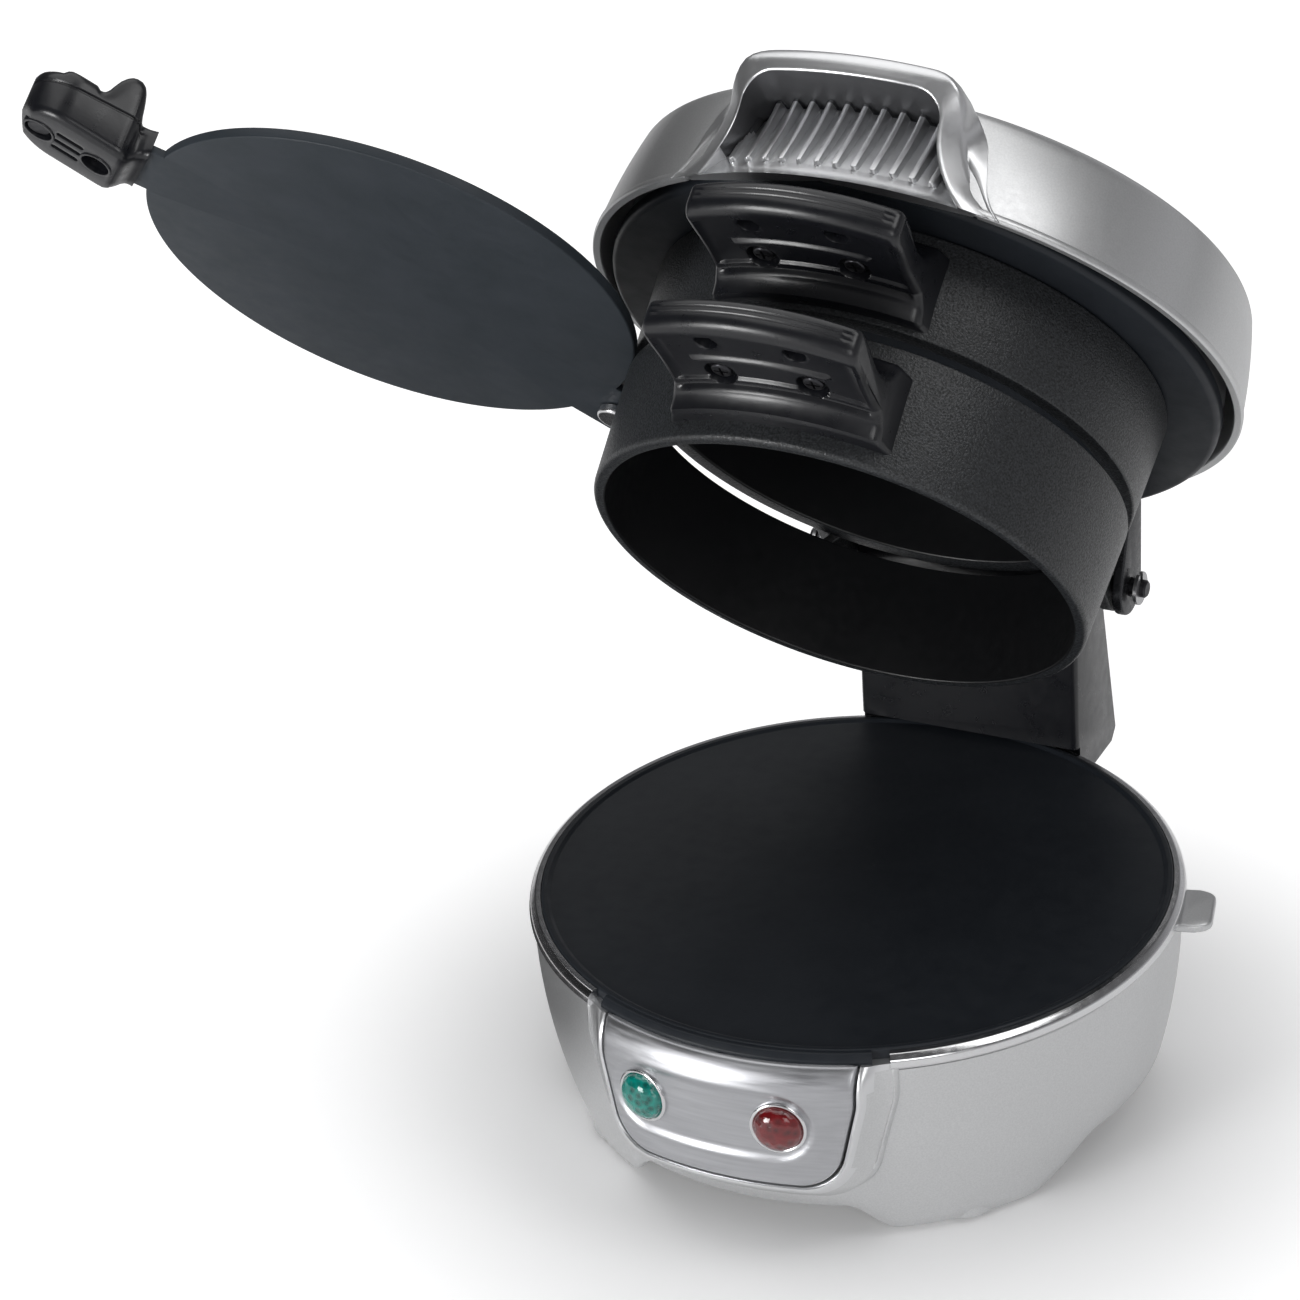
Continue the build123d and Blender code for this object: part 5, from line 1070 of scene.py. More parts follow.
def with_well(handle, x, y, radius, low, top, folded):
    """Cuts a round well into the underside and rounds its mouth."""
    handle = combine(handle, rod(radius, low, top, x, y, 40), folded=folded)
    handle.normal_update()
    mouth = [
        edge for edge in handle.edges
        if edge.is_manifold and edge.calc_face_angle(0) > 0.6
        and all(abs(math.hypot(v.co.x - x, v.co.y - y) - radius) < 0.03 for v in edge.verts)
        and all(v.co.z < top - 0.5 for v in edge.verts)
    ]
    bmesh.ops.bevel(handle, geom=mouth, offset=0.3, segments=2, profile=0.5, affect="EDGES")
    return handle


WELLS = (  # x, y, radius, top over the lower edge of the ring
    (-SCREW_X, SCREW_Y, 3.4, TONGUE_LOW), (SCREW_X, SCREW_Y, 3.4, TONGUE_LOW),
    (-9.6, -75.2, 2.4, 13.4), (9.6, -75.2, 2.4, 13.4),
)
for body, ring, lift, wall_r in HANDLES:
    low = RING_LOW + lift
    handle = skin(
        [handle_row(*station, low, wall_r) for station in handle_stations()],
        first_cap=True, last_cap=True,
    )
    for index, (x, y, radius, top) in enumerate(WELLS):
        handle = with_well(handle, x, y, radius, low, low + top, folded=index == 0)
    piece(body + "_grip", handle, ON_RINGS, body, "phenolic", phenolic, ring + "_handle")

# %% [markdown]
# The hinge post stands behind the base and is hollow from below.  Its outline is drawn from the
# side and given rounded edges; the hollow, the pin's hole and the housing's round back are then
# cut out of it.

# %% Hinge post
POST_HALF, POST_SHELL, POST_HEAD_R = 26.5, 2.6, 8
POST_OUTSIDE = ((90, 44), (87, 41), (64.5, 41), (64.5, 56))
POST_INSIDE = ((67.1, 54), (67.7, 82), (78.7, 82), (87.4, 44), (86, 38), (74, 38), (74, 54))
POST_RIBS, POST_RIB_T, CLEARANCE = (-9.4, 7.6), 1.8, 0.05
post_outline = [Vector(p) for p in POST_OUTSIDE]
for turn in even(math.pi, 0, 16):
    y, z = HINGE_Y + POST_HEAD_R * math.cos(turn), HINGE_Z + POST_HEAD_R * math.sin(turn)
    post_outline.append(Vector((y, z)))
post = upright(slab(post_outline, -POST_HALF, POST_HALF, 1.4))
inside_half = POST_HALF - POST_SHELL
post_hollow = slab([Vector(p) for p in POST_INSIDE], -inside_half, inside_half, 0)
post = combine(post, upright(post_hollow))
tongue = slab(rounded([(-18, 66, 2), (18, 66, 2), (18, 76, 2), (-18, 76, 2)]), 29, 53, 0.5)
post = combine(post, tongue, "UNION")
for x in POST_RIBS:
    rib = [Vector(p) for p in ((x, 73), (x + POST_RIB_T, 73), (x + POST_RIB_T, 81), (x, 81))]
    post = combine(post, slab(rib, 46, 78, 0), "UNION")
drum_side = [(0, 1), (FOOT_R, 1)] + [(skirt_r(z) + CLEARANCE, z) for z in even(2, 42, 10)]
drum_side += [(BASE_R + CLEARANCE, SEAM_Z + 0.7), (71.4, SEAM_Z + 0.7), (71.4, 51.2), (0, 51.2)]
post = combine(post, turned([Vector(p) for p in drum_side], steps=240))
post = combine(post, upright(slab(circle(HINGE_Y, HINGE_Z, PIN_R), -30, 30, 0)))
piece("post", post, ON_BASE, "base", "phenolic", phenolic, "hinge_post")

# %% [markdown]
# The cover hangs on two steel cheeks that hold the same pin as the rings, outside their arms.  Each
# is a flat band stretched from the pin to the cover, welded to a foot with a screw hole.

# %% Bracket of the cover
CHEEK_X, CHEEK_T, CHEEK_EYE_R = 35.6, 2.4, 6.5
BRACKET_FOOT = (23, 36.8)
bracket = []
for side in (-1, 1):
    cheek = slab(
        hull((HINGE_Y, HINGE_Z, CHEEK_EYE_R), (60, 101, 1.6), (60, 107, 1.6)),
        side * CHEEK_X - CHEEK_T / 2, side * CHEEK_X + CHEEK_T / 2, 0.5,
        [circle(HINGE_Y, HINGE_Z, PIN_R + RUNNING)],
    )
    near, far = sorted(side * x for x in BRACKET_FOOT)
    foot = slab(
        rounded([(near, 48, 1), (far, 48, 1), (far, 61.6, 0.5), (near, 61.6, 1)]),
        106.5, 108.0, 0.3, [circle(side * 29, 53, 1.6)],
    )
    bracket.append(combine(upright(cheek), foot, "UNION"))
piece("hinge_cheeks", together(*bracket), ON_RINGS, "cover", "steel", plain["dark_steel"],
      "cover_hinge_bracket")

# %% [markdown]
# Under the cover is a second hotplate, a coated disc with a rounded edge that heats the stack from
# above.  It is as plain as it looks, so it is turned from one profile.

# %% Upper hotplate
UPPER_PLATE_R, UPPER_PLATE_LOW, UPPER_PLATE_T = 67.5, UPPER_TOP + 0.3, 3.6
upper_profile = rounded([
    (0, UPPER_PLATE_LOW, 0), (UPPER_PLATE_R, UPPER_PLATE_LOW, 1.4),
    (UPPER_PLATE_R, UPPER_PLATE_LOW + UPPER_PLATE_T, 0.4), (0, UPPER_PLATE_LOW + UPPER_PLATE_T, 0),
])
piece("upper_cooking_surface", turned(upper_profile, steps=256), ON_RINGS, "cover", "nonstick",
      nonstick, "upper_hotplate")

# %% [markdown]
# The cooking plate is a thin turned dish.  Its ear turns on the pivot pin, and its tang runs
# inside the grip.

# %% Cooking plate
PLATE_R, PLATE_RIM, EAR_HALF, EAR_START, EAR_END, EAR_HOLE_R = 54.5, 0.7, 9.5, 48, 68.5, 3.05
TANG_HALF, TANG_START, TANG_END, PLATE_HANDLE_ANGLE = 6.0, 50.0, 82.0, -12.0
NECK_HALF, NECK_END = 9.2, 57.0
PLATE_SCREWS = (65.7, 79.2)
dish = turned(rounded([
    (0, PLATE_Z, 0), (PLATE_R, PLATE_Z, 0.45), (PLATE_R, PLATE_Z + PLATE_H, 0.45),
    (PLATE_R - 1.6, PLATE_Z + PLATE_H, 0.4), (PLATE_R - 1.9, PLATE_Z + PLATE_H - PLATE_RIM, 0.3),
    (0, PLATE_Z + PLATE_H - PLATE_RIM, 0),
]), steps=256)


def along(outline, angle):
    """An outline drawn along the +X axis, turned to another direction."""
    return [Matrix.Rotation(math.radians(angle), 2) @ point for point in outline]


flat_top = PLATE_Z + PLATE_H - PLATE_RIM
ear = along(rounded([
    (EAR_START, -EAR_HALF, 0), (EAR_END, -EAR_HALF, 3.5), (EAR_END, EAR_HALF, 3.5),
    (EAR_START, EAR_HALF, 0),
]), PIVOT_ANGLE)
ear_hole = circle(*PIVOT[:2], EAR_HOLE_R)
tang = along(rounded([
    (TANG_START, -NECK_HALF, 0), (NECK_END, -NECK_HALF, 1), (NECK_END + 0.8, -TANG_HALF, 0.5),
    (TANG_END, -TANG_HALF, 0.5), (TANG_END, TANG_HALF, 0.5), (NECK_END + 0.8, TANG_HALF, 0.5),
    (NECK_END, NECK_HALF, 1), (TANG_START, NECK_HALF, 0),
]), PLATE_HANDLE_ANGLE)
tang_holes = [circle(*polar(r, PLATE_HANDLE_ANGLE), 1.6, 16) for r in PLATE_SCREWS]
for outline, holes in ((ear, [ear_hole]), (tang, tang_holes)):
    dish = combine(dish, slab(outline, PLATE_Z, flat_top, 0.3, holes), "UNION")
piece("swinging_plate", dish, ON_PLATE, "plate", "nonstick", slate_coating, "cooking_plate")

# %% [markdown]
# The control panel is the face of the appliance, so it takes the most care.  The frame round it is
# drawn as two outlines in front view, the mouth and the outer edge, with a section stretched
# between them at every point: a bright flat rim, then a hollow that runs down to the housing at
# the sides, and a full round below.

# %% Frame of the control panel
PANEL_R, BEZEL_LOW, PANEL_LOW, PANEL_TOP, PANEL_GAP = 74.0, 14.8, 20.4, 48.4, 0.45
PANEL_HALF_TOP, PANEL_HALF_LOW, BEZEL_HALF_TOP, BEZEL_HALF_LOW = 28.4, 24.2, 35.6, 29.0
BEND_Z, BEND_ROUND, ROLL_BACK, ROLL_HEIGHT = 40, 14, 2.7, 8
BEZEL_BACK_R, BRIGHT_RIM = 67.5, 1.1


def on_drum(x, z, radius):
    """A point on the front of an upright drum, given in front view."""
    return Vector((x, -math.sqrt(radius ** 2 - x ** 2), z))


def matched(first, second, longest):
    """Pairs of points of two outlines, the long straights cut into equal parts."""
    pairs = []
    for k in range(len(first) - 1):
        parts = max(1, math.ceil((first[k + 1] - first[k]).length / longest))
        for part in range(parts):
            share = part / parts
            pairs.append((first[k].lerp(first[k + 1], share), second[k].lerp(second[k + 1], share)))
    return pairs + [(first[-1], second[-1])]


def shield(half_top, half_low, low, corner, top):
    """Open outline of the panel in front view, from its left end round to its right end."""
    return rounded([
        (-half_top, top, 0), (-half_top, BEND_Z, BEND_ROUND), (-half_low, low, corner),
        (half_low, low, corner), (half_top, BEND_Z, BEND_ROUND), (half_top, top, 0),
    ], 10)


def face_r(z, front_r):
    """Radius of the panel's face, which rolls back at the top."""
    return front_r - ROLL_BACK * max(0.0, 1 - (PANEL_TOP - z) / ROLL_HEIGHT) ** 2.6


# height of the frame over the housing, from its mouth (0) to its outer edge (1): sides and foot
SIDE_SHAPE = ((0.05, 0.94), (0.09, 0.99), (0.14, 1.0), (0.20, 0.96), (0.28, 0.82), (0.42, 0.50),
              (0.60, 0.24), (0.76, 0.12), (0.85, 0.12), (0.89, 0.24), (0.94, 0.24), (1.0, 0.03))
FOOT_SHAPE = ((0.05, 0.94), (0.10, 0.99), (0.2, 1.0), (0.34, 0.98), (0.5, 0.93), (0.66, 0.84),
              (0.82, 0.66), (0.88, 0.55), (0.92, 0.45), (0.95, 0.35), (0.98, 0.22), (1.0, 0.05))

mouth = shield(
    PANEL_HALF_TOP + PANEL_GAP, PANEL_HALF_LOW + PANEL_GAP, PANEL_LOW - PANEL_GAP, 9.4, PANEL_TOP
)
rim = shield(BEZEL_HALF_TOP, BEZEL_HALF_LOW, BEZEL_LOW, 11, PANEL_TOP)
frame_rows = []
for inner, outer in matched(mouth, rim, 1.5):
    below = smooth_step((31 - inner.y) / 9)
    face = face_r(inner.y, PANEL_R)
    row = [on_drum(*inner, BEZEL_BACK_R), on_drum(*inner, face - 0.45)]
    row.append(on_drum(*inner.lerp(outer, 0.02), face - 0.12))
    for (place, side), (_, foot) in zip(SIDE_SHAPE, FOOT_SHAPE):
        spot = inner.lerp(outer, place)
        wall = skirt_r(min(spot.y, SEAM_Z))
        height = (side + (foot - side) * below) * (face_r(spot.y, PANEL_R) - wall)
        row.append(on_drum(*spot, wall + height + 0.1))
    row.append(on_drum(*outer, BEZEL_BACK_R if outer.y > 20 else BEZEL_BACK_R - 1))
    frame_rows.append(row)


def on_bright_rim(place):
    """True where the frame stands out almost as far as the panel's face."""
    return math.hypot(place.x, place.y) > face_r(place.z, PANEL_R) - BRIGHT_RIM


piece("panel_frame", skin(frame_rows, first_cap=True, last_cap=True), ON_BASE, "base", "silver",
      silver_paint, "control_bezel", crease=40, inside=(satin_silver, on_bright_rim))

# %% [markdown]
# The panel itself is a height field: radius for every spot in front view.  A pill-shaped recess
# with soft edges holds the two lamps, and the panel's own edge is rounded all the way round.

# %% Panel
LENS_D, LENS_SPACING, LENS_X, LENS_Z = 10.2, 31.4, -2.4, 34.5
PROUD, RECESS_DEPTH, PANEL_BACK_R = 0.3, 0.55, 71.0
RECESS_FLOOR_R = PANEL_R + PROUD - RECESS_DEPTH
PILL_HALF, PILL_R, PILL_SLOPE, LIP_HEIGHT, PANEL_EDGE = 14.9, 7.6, 1.8, 0.1, 0.6
PANEL_TOP_EDGE = PANEL_TOP + 0.2
panel_outline = shield(PANEL_HALF_TOP, PANEL_HALF_LOW, PANEL_LOW, 9, PANEL_TOP_EDGE)


def edge_distance(x, z, outline):
    """Distance from a spot to a closed outline."""
    spot = Vector((x, z))
    nearest = 1e9
    for a, b in zip(outline, outline[1:] + outline[:1]):
        run = b - a
        share = min(1.0, max(0.0, (spot - a).dot(run) / max(run.length_squared, 1e-9)))
        nearest = min(nearest, (spot - a - run * share).length)
    return nearest


def half_at(outline, z):
    """Half-width of the outline at a height."""
    half = 0.0
    for a, b in zip(outline, outline[1:]):
        if a.x > 0 and min(a.y, b.y) - 1e-6 <= z <= max(a.y, b.y) + 1e-6:
            share = (z - a.y) / (b.y - a.y) if abs(b.y - a.y) > 1e-6 else 1.0
            half = max(half, a.x + (b.x - a.x) * share)
    return half


def panel_r(x, z):
    """Radius of the panel's surface at a spot in front view."""
    to_pill = math.hypot(max(0.0, abs(x - LENS_X) - PILL_HALF), z - LENS_Z) - PILL_R
    radius = face_r(z, PANEL_R + PROUD) - RECESS_DEPTH * smooth_step(0.5 - to_pill / PILL_SLOPE)
    radius += LIP_HEIGHT * ridge(to_pill - 1.0, 0.8)
    edge = edge_distance(x, z, panel_outline)
    if edge < PANEL_EDGE:
        radius -= PANEL_EDGE * (1 - math.sqrt(1 - (1 - edge / PANEL_EDGE) ** 2))
    return radius


rises = [0, 0.08, 0.2, 0.38, PANEL_EDGE]
heights = [PANEL_LOW + rise for rise in rises]
heights += even(PANEL_LOW + PANEL_EDGE, PANEL_TOP_EDGE - PANEL_EDGE, 52)[1:-1]
heights += [PANEL_TOP_EDGE - rise for rise in reversed(rises)]
panel_rows = []
for z in heights:
    half = half_at(panel_outline, z)
    right_side = [half - rise for rise in rises] + even(half - PANEL_EDGE, 0, 45)[1:-1]
    across = right_side + [0.0] + [-x for x in reversed(right_side)]
    row = [on_drum(x, z, panel_r(x, z)) for x in across]
    panel_rows.append(row + [on_drum(x, z, PANEL_BACK_R) for x in (across[-1], 0, across[0])])
panel = skin(panel_rows, first_cap=True, last_cap=True)


def lamp_place(side):
    """Matrix of one lamp: its axis looks out of the panel, its origin is on the recess's floor."""
    out = Vector((LENS_X + side * LENS_SPACING / 2, 0, 0)) / PANEL_R
    out.y = -math.sqrt(1 - out.x ** 2)
    upwards = Vector((0, 0, 1))
    axes = Matrix((upwards, out.cross(upwards), out)).transposed().to_4x4()
    return Matrix.Translation(out * RECESS_FLOOR_R + Vector((0, 0, LENS_Z))) @ axes


LENS_PLAY = 0.35
for side in (-1, 1):
    hole = rod(LENS_D / 2 + LENS_PLAY, -8, 4)
    hole.transform(lamp_place(side))
    panel = combine(panel, hole)
piece("panel_face", panel, ON_BASE, "base", "panel_silver", brushed_silver, "control_panel",
      crease=50)

# %% [markdown]
# Two lamps show in the panel, a green and a red one.  Each is a domed jewel in a thin bright ring,
# both turned round the lamp's own axis, which looks straight out of the curved panel.

# %% Lamps
RING_R, RING_H = 6.15, 0.72
JEWEL_DOME = ((4.95, 1.25), (4.6, 1.75), (4.05, 2.2), (3.3, 2.6), (2.4, 2.9), (1.3, 3.1), (0, 3.18))
jewel_profile = [Vector(p) for p in ((0, -6), (LENS_D / 2, -6), (LENS_D / 2, 0.8), *JEWEL_DOME)]
ring_profile = rounded([
    (LENS_D / 2 + 0.04, -0.8, 0), (RING_R, -0.8, 0), (RING_R, 0.5, 0.4), (5.6, RING_H, 0.3),
    (LENS_D / 2 + 0.04, 0.45, 0.1),
], 3)
LAMPS = ((-1, "ready", "green_lens", green_jewel), (1, "power", "red_lens", red_jewel))
rings = []
for side, name, slot, material in LAMPS:
    ring = turned(ring_profile, steps=72)
    ring.transform(lamp_place(side))
    rings.append(ring)
    piece(name + "_jewel", turned(jewel_profile, steps=72), lamp_place(side), "base", slot,
          material, name + "_lens")
piece("jewel_rings", together(*rings), ON_BASE, "base", "bright", bright_metal, "lens_rings")

# %% [markdown]
# The cover is a turned dome with a deep skirt.  Its handle is a hood over a recess for the
# fingertips, and the dome is cut away behind it.

# %% Cover shell
COVER_LOW, SHOULDER_Z, COVER_TOP, COVER_WALL = 109.2, 131.0, 137.5, 1.8
SHOULDER, DOME_EDGE = (68.2, SHOULDER_Z), (65.0, 133.7)
HOOD_LOW, HOOD_TOP = 109.3, 136.0


def arc_points(a, b, c, steps):
    """Points on the arc from a through b to c."""
    centre, radius = circle_through(Vector(a), Vector(b), Vector(c))
    first, last = (Vector(a) - centre), (Vector(c) - centre)
    turn = first.angle_signed(last)
    return [centre + Matrix.Rotation(-turn * k / steps, 2) @ first for k in range(steps + 1)]


inner_top = Vector((0, COVER_TOP - COVER_WALL))
shell_profile = [Vector(p) for p in (
    (70.0, COVER_LOW + 0.25), (70.2, COVER_LOW), (71.55, COVER_LOW), (71.8, 109.4), (71.9, 109.8),
    (71.85, 110.6), (71.62, 110.9), (71.45, 111.05),
)]
shell_profile += arc_points((71.45, 111.5), (70.3, 121), SHOULDER, 12)
shell_profile += arc_points(SHOULDER, (66.95, 132.8), DOME_EDGE, 6)[1:]
shell_profile += arc_points(DOME_EDGE, (34, 136.45), (0, COVER_TOP), 12)[1:]
shell_profile += [inner_top] + arc_points((64.6, 131.95), (34, 134.7), inner_top, 10)[-2::-1]
shell_profile += arc_points((66.4, 130.4), (68.5, 121), (69.9, 109.9), 8)
shell = turned(shell_profile, steps=256)


def mouth_half(z):
    """Half-width of the recess's mouth."""
    return 21.6 + 6.2 * max(0.0, (124.4 - z) / 14.4) ** 2.1


def leg_half(z):
    """Half-width outside the hood's legs."""
    return 25.8 + 9.4 * max(0.0, (127 - z) / 17.7) ** 1.9


def arch(half, low, top, corner):
    """Open outline of an arch from its left foot over the top to its right foot."""
    left = [Vector((-half(z), z)) for z in even(low, top - corner, 14)]
    centre = Vector((-half(top - corner) + corner, top - corner))
    for turn in even(math.pi, math.pi / 2, 8)[1:]:
        left.append(centre + Vector((math.cos(turn), math.sin(turn))) * corner)
    return left + [Vector((-point.x, point.y)) for point in reversed(left)]


def prism(outline, near, far):
    """The outline in front view, made solid between two depths."""
    bm = slab(outline, near, far, 0)
    bm.transform(Matrix(((1, 0, 0, 0), (0, 0, 1, 0), (0, 1, 0, 0), (0, 0, 0, 1))))
    return bm


def cut_out_half(z):
    """Half-width of the opening in the dome, which ends inside the hood's legs."""
    return (mouth_half(z) + leg_half(z)) / 2


shell = combine(shell, prism(arch(cut_out_half, 100, 133.2, 7), -90, -58))
piece("cover_dome", shell, ON_COVER, "cover", "silver", silver_paint, "cover_shell", crease=38)

# %% [markdown]
# The hood is a section carried round an arch.  Its face is broad and satin on top and narrows down
# the legs; over the top it rolls back on to the dome, and beside the legs it falls in a hollow to
# a crisp edge on the skirt.  Behind it a ribbed wall leans back into the dark.

# %% Hood over the finger recess
HOOD_FOOT_R, HOOD_FACE_R, HOOD_ROUND, HOOD_EDGE_Z = 72.3, 76.9, 2.6, 133
LEG_SLANT, LEG_REACH_LEAST, LEG_REACH_MORE = 3.1, 1.2, 2.6
SKIRT_SHAPE = ((109, 71.8), (111.5, 71.45), (121, 70.3), (131, 68.2), (133, 67.0), (136, 64.0))
BACK_SHAPE = ((109.3, 71.7), (110.2, 71.0), (111.5, 70.4), (113, 69.6), (115, 68.7), (117, 67.7),
              (119, 66.6), (121, 65.6), (123, 64.6), (127, 62.8), (131, 61.4), (140, 61.4))
FACE_SHARES = (0.09, 0.2, 0.32, 0.44, 0.56, 0.68, 0.78, 0.87)


def hood_r(z):
    """Radius of the hood's face, which is rounded over at the top."""
    if z > HOOD_EDGE_Z:
        share = (z - HOOD_EDGE_Z) / (HOOD_TOP - HOOD_EDGE_Z)
        return HOOD_FACE_R - HOOD_ROUND * (1 - math.sqrt(max(0.0, 1 - share ** 2)))
    rise = (z - HOOD_LOW) / (HOOD_EDGE_Z - HOOD_LOW)
    return HOOD_FOOT_R + (HOOD_FACE_R - HOOD_FOOT_R) * rise


def skirt_of_cover(z):
    """Outside radius of the cover's skirt."""
    return blend(SKIRT_SHAPE, z)


def back_r(z):
    """Radius of the recess's back wall."""
    return blend(BACK_SHAPE, z)


def hood_side(outer, slant, over):
    """The hood's outer side: a bend from its face down to the skirt, or back on to the dome."""
    side = 1 if outer.x > 0 else -1
    foot_z = min(outer.y, SHOULDER_Z + 0.5)
    reach = LEG_REACH_MORE * smooth_step((outer.y - 110) / 12)
    reach = LEG_REACH_LEAST + reach * smooth_step((SHOULDER_Z - outer.y) / 7)
    reach *= side * (1 - over)
    start = on_drum(*outer, hood_r(outer.y) - 0.5 - 0.3 * over - 0.97 * slant)
    beside = on_drum(outer.x + reach, foot_z, skirt_of_cover(foot_z) + 0.25)
    corner = on_drum(outer.x + 0.3 * reach, foot_z, skirt_of_cover(foot_z) + 0.7)
    behind = Vector((outer.x * 0.97, -61.5, 134.75 - 0.0012 * outer.x ** 2))
    end, bend = beside.lerp(behind, over), corner.lerp(Vector((outer.x, -69, 135.6)), over)
    side_points = [start.lerp(bend, t).lerp(bend.lerp(end, t), t) for t in even(0, 1, 7)]
    return side_points + [end + Vector((0, 1.5, -1.2 * over))]


def hood_row(inner, outer):
    """One section of the hood, from the mouth of the recess over the face to the skirt."""
    over = smooth_step((outer.y - 129) / 6)
    upright_leg = smooth_step((outer.y - 124) / 10)
    slant = LEG_SLANT * (1 - upright_leg) * smooth_step((outer.y - 107) / 9)
    row = [on_drum(*inner, back_r(inner.y) - 0.8), on_drum(*inner, hood_r(inner.y) - 0.3)]
    row.append(on_drum(*inner.lerp(outer, 0.03), hood_r(inner.y) - 0.08 - 0.02 * slant))
    for share in FACE_SHARES:
        spot = inner.lerp(outer, share)
        row.append(on_drum(*spot, hood_r(spot.y) - slant * (share - 0.05)))
    spot = inner.lerp(outer, 0.95)
    row.append(on_drum(*spot, hood_r(spot.y) - 0.25 - 0.9 * slant))
    row += hood_side(outer, slant, over)
    middle = inner.lerp(outer, 0.5)
    return row + [on_drum(middle.x, min(middle.y, HOOD_EDGE_Z - 0.5), back_r(middle.y) - 1.0)]


hood_mouth = arch(mouth_half, HOOD_LOW, 130.4, 6)
hood_leg = arch(leg_half, HOOD_LOW, HOOD_TOP, 9)
hood = skin(
    [hood_row(inner, outer) for inner, outer in matched(hood_mouth, hood_leg, 1.6)],
    first_cap=True, last_cap=True,
)
print("the hood is", round(-2 * hood_leg[0].x, 1), "mm wide at its feet")

# %% [markdown]
# The back wall of the recess has twelve upright ribs for the fingertips.  They grow from nothing
# at their rounded lower ends and stand out more towards the top.  Wall and ribs are one height
# field, with its columns set close together just where a rib begins and ends.

# %% Ribbed wall of the recess
RIBS, RIB_PITCH, RIB_HALF, RIB_LOW = 12, 4.0, 0.85, 112.9
RIB_HEIGHT, RIB_GROWTH, RIB_RUN, WALL_T = 1.4, 1.9, 18, 1.5
WALL_HALF, WALL_SIDE = 31, (24, 26, 28.5)
RIB_COLUMNS = (-1.5, -1.0, -0.85, -0.75, -0.55, -0.28, 0, 0.28, 0.55, 0.75, 0.85, 1.0, 1.5)
HALF_RIBBED = RIB_PITCH * RIBS / 2


def wall_point(x, z):
    """A point of the ribbed wall; a rib's section is a half round with its crown cut flat."""
    to_rib = abs((x + HALF_RIBBED) % RIB_PITCH - RIB_PITCH / 2)
    to_rib = math.hypot(to_rib, max(0.0, RIB_LOW + RIB_HALF - z))
    on_rib = abs(x) < HALF_RIBBED and to_rib < RIB_HALF
    crown = math.sqrt(1 - (to_rib / RIB_HALF) ** 2) if on_rib else 0.0
    height = RIB_HEIGHT + RIB_GROWTH * (max(0.0, z - RIB_LOW) / RIB_RUN) ** 1.5
    return on_drum(x, z, back_r(z) + height * min(1.0, crown * 1.25))


rib_centres = [RIB_PITCH * (k - (RIBS - 1) / 2) for k in range(RIBS)]
across = [-WALL_HALF, *(-x for x in reversed(WALL_SIDE))]
across += [centre + column for centre in rib_centres for column in RIB_COLUMNS]
across += [*WALL_SIDE, WALL_HALF]
heights = [HOOD_LOW, 109.6, *even(110, 112, 4), *even(RIB_LOW - 0.2, RIB_LOW + 1.1, 13)]
heights += even(RIB_LOW + 1.4, RIB_LOW + 18.4, 34)
wall_rows = []
for z in heights:
    behind = [on_drum(x, z, back_r(z) - WALL_T) for x in (WALL_HALF, 0, -WALL_HALF)]
    wall_rows.append([wall_point(x, z) for x in across] + behind)
wall = skin(wall_rows, first_cap=True, last_cap=True)


def in_painted_shade(place):
    """True on the cheeks and the ceiling round the ribbed wall, where the shade is painted."""
    deep = place.z > 115 and math.hypot(place.x, place.y) < hood_r(place.z) - 1.0
    return deep and edge_distance(place.x, place.z, hood_mouth) < 0.5


# The cheeks and ceiling of the recess take the darker silver, a painted shade.
piece("cover_hood", together(hood, wall), ON_COVER, "cover", "silver", satin_silver, "cover_handle",
      crease=42, inside=(painted_shade_silver, in_painted_shade))

# %% [markdown]
# The plate's grip is a small moulding with a lot going on: a rounded tip, a parting line along
# both sides, a raised pad, and a tab for the thumb that stands up over the root.  Sections are
# carried along it from the neck to the tip, and the wells and grooves underneath are cut last.

# %% Grip of the cooking plate
GRIP_TOP = ((56.6, 83.0), (60.3, 83.3), (60.8, 85.0), (61.3, 87.6), (61.9, 89.6), (62.6, 90.9),
            (63.6, 91.6), (64.8, 91.8), (65.8, 91.6), (66.8, 90.9), (67.8, 89.7), (68.6, 88.2),
            (69.3, 86.7), (70.0, 86.0), (70.9, 85.9), (71.4, 86.3), (71.8, 86.65), (78.0, 87.5),
            (78.4, 87.3), (78.8, 86.6), (80.5, 86.7), (82.8, 86.7), (83.6, 86.4), (84.0, 85.9))
GRIP_FLOOR = ((56.6, 76.3), (57.4, 76.2), (58.2, 75.9), (59.0, 75.3), (59.7, 74.5), (60.4, 73.9),
              (61.2, 73.5), (62.2, 73.45), (80.0, 75.95), (81.9, 76.2), (82.1, 76.4), (84.0, 78.9))
GRIP_WIDE = ((56.6, 9.6), (57.2, 9.2), (58.2, 8.6), (59.6, 8.3), (60.6, 8.5), (61.4, 9.3),
             (62.2, 9.8), (63.4, 10.0), (75.0, 10.0))
GRIP_START, TIP_START, TIP_LENGTH, TIP_ROUND, GRIP_HALF_WIDTH = 56.6, 75, 8.95, 9.15, 10
GRIP_CORNER, PARTING, PARTING_Z, PARTING_SLOPE = 1.9, 0.45, 82.6, 0.06
GRIP_WELL_R, FLOOR_SLOPE = 3.2, 0.139
GROOVE_XS, GROOVE_YS, GROOVE_R, GROOVE_TOP = (70.0, 74.9), (-3.2, 0, 3.2), 0.75, 75.9


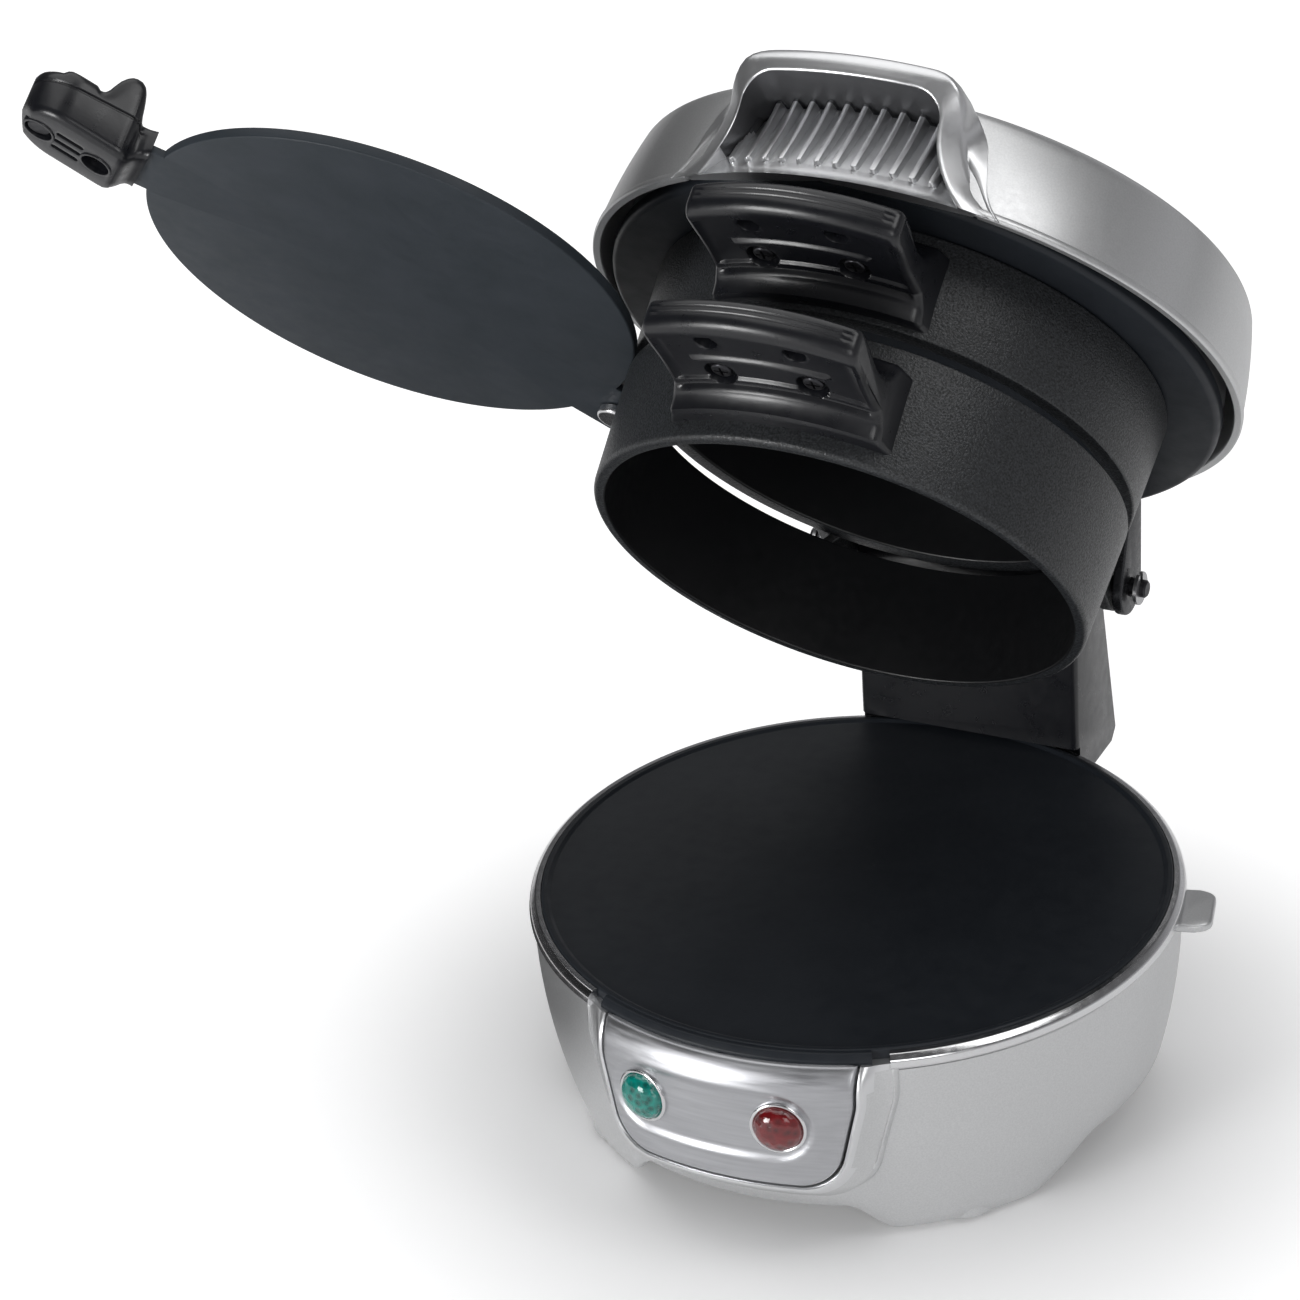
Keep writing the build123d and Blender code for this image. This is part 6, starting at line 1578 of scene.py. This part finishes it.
def grip_section(r):
    """Closed section of the grip at a distance along it."""
    top, floor_z, half = blend(GRIP_TOP, r), blend(GRIP_FLOOR, r), blend(GRIP_WIDE, r)
    if r > TIP_START:
        half = GRIP_HALF_WIDTH * math.sqrt(max(0.0, 1 - ((r - TIP_START) / TIP_ROUND) ** 2))
    corner = min(GRIP_CORNER, half * 0.7, (top - floor_z) / 3)
    split = min(PARTING_Z + (r - 60) * PARTING_SLOPE, top - corner - 0.7)
    in_groove = half - PARTING * smooth_step((r - 59) / 2)
    turns = even(0, math.pi / 2, 4)
    right = [(0, floor_z), (half * 0.5, floor_z)]
    right += [
        (half - corner * (1 - math.sin(turn)), floor_z + corner * (1 - math.cos(turn)))
        for turn in turns
    ]
    right += [(half, split - 0.45), (in_groove, split - 0.1), (in_groove, split + 0.1),
              (half, split + 0.45)]
    right += [
        (half - corner * (1 - math.cos(turn)), top - corner * (1 - math.sin(turn)))
        for turn in turns
    ]
    right.append((half * 0.5, top))
    left = [(-y, z) for y, z in reversed(right[1:])]
    return [Vector((r, y, z)) for y, z in right + [(0, top)] + left]


stations = even(GRIP_START, GRIP_START + 18.2, 52)
stations += [TIP_START + TIP_LENGTH * math.sin(turn) for turn in even(0, math.pi / 2, 16)[1:]]
grip = skin([grip_section(r) for r in stations], first_cap=True, last_cap=True)
for screw_r in PLATE_SCREWS:
    grip = combine(grip, rod(GRIP_WELL_R, 68, PLATE_Z, screw_r, 0, 40), folded=True)
for y in GROOVE_YS:
    ends = [(x, y, GROOVE_R) for x in GROOVE_XS]
    grip = combine(grip, slab(hull(*ends), 68, GROOVE_TOP, 0))
grip = soften(grip, 0.22, above=58)
collars = []
for screw_r in PLATE_SCREWS:
    collar = turned(rounded([
        (GRIP_WELL_R - 0.05, -0.25, 0.1), (3.75, -0.25, 0.2), (3.9, 1.0, 0),
        (GRIP_WELL_R - 0.05, 1.0, 0),
    ], 2), steps=40)
    slope = Matrix.Rotation(-math.atan(FLOOR_SLOPE), 4, "Y")
    collar.transform(Matrix.Translation((screw_r, 0, blend(GRIP_FLOOR, screw_r))) @ slope)
    collars.append(collar)
on_tang = ON_PLATE @ Matrix.Rotation(math.radians(PLATE_HANDLE_ANGLE), 4, "Z")
piece("plate_grip", together(grip, *collars), on_tang, "plate", "phenolic", phenolic, "plate_handle")
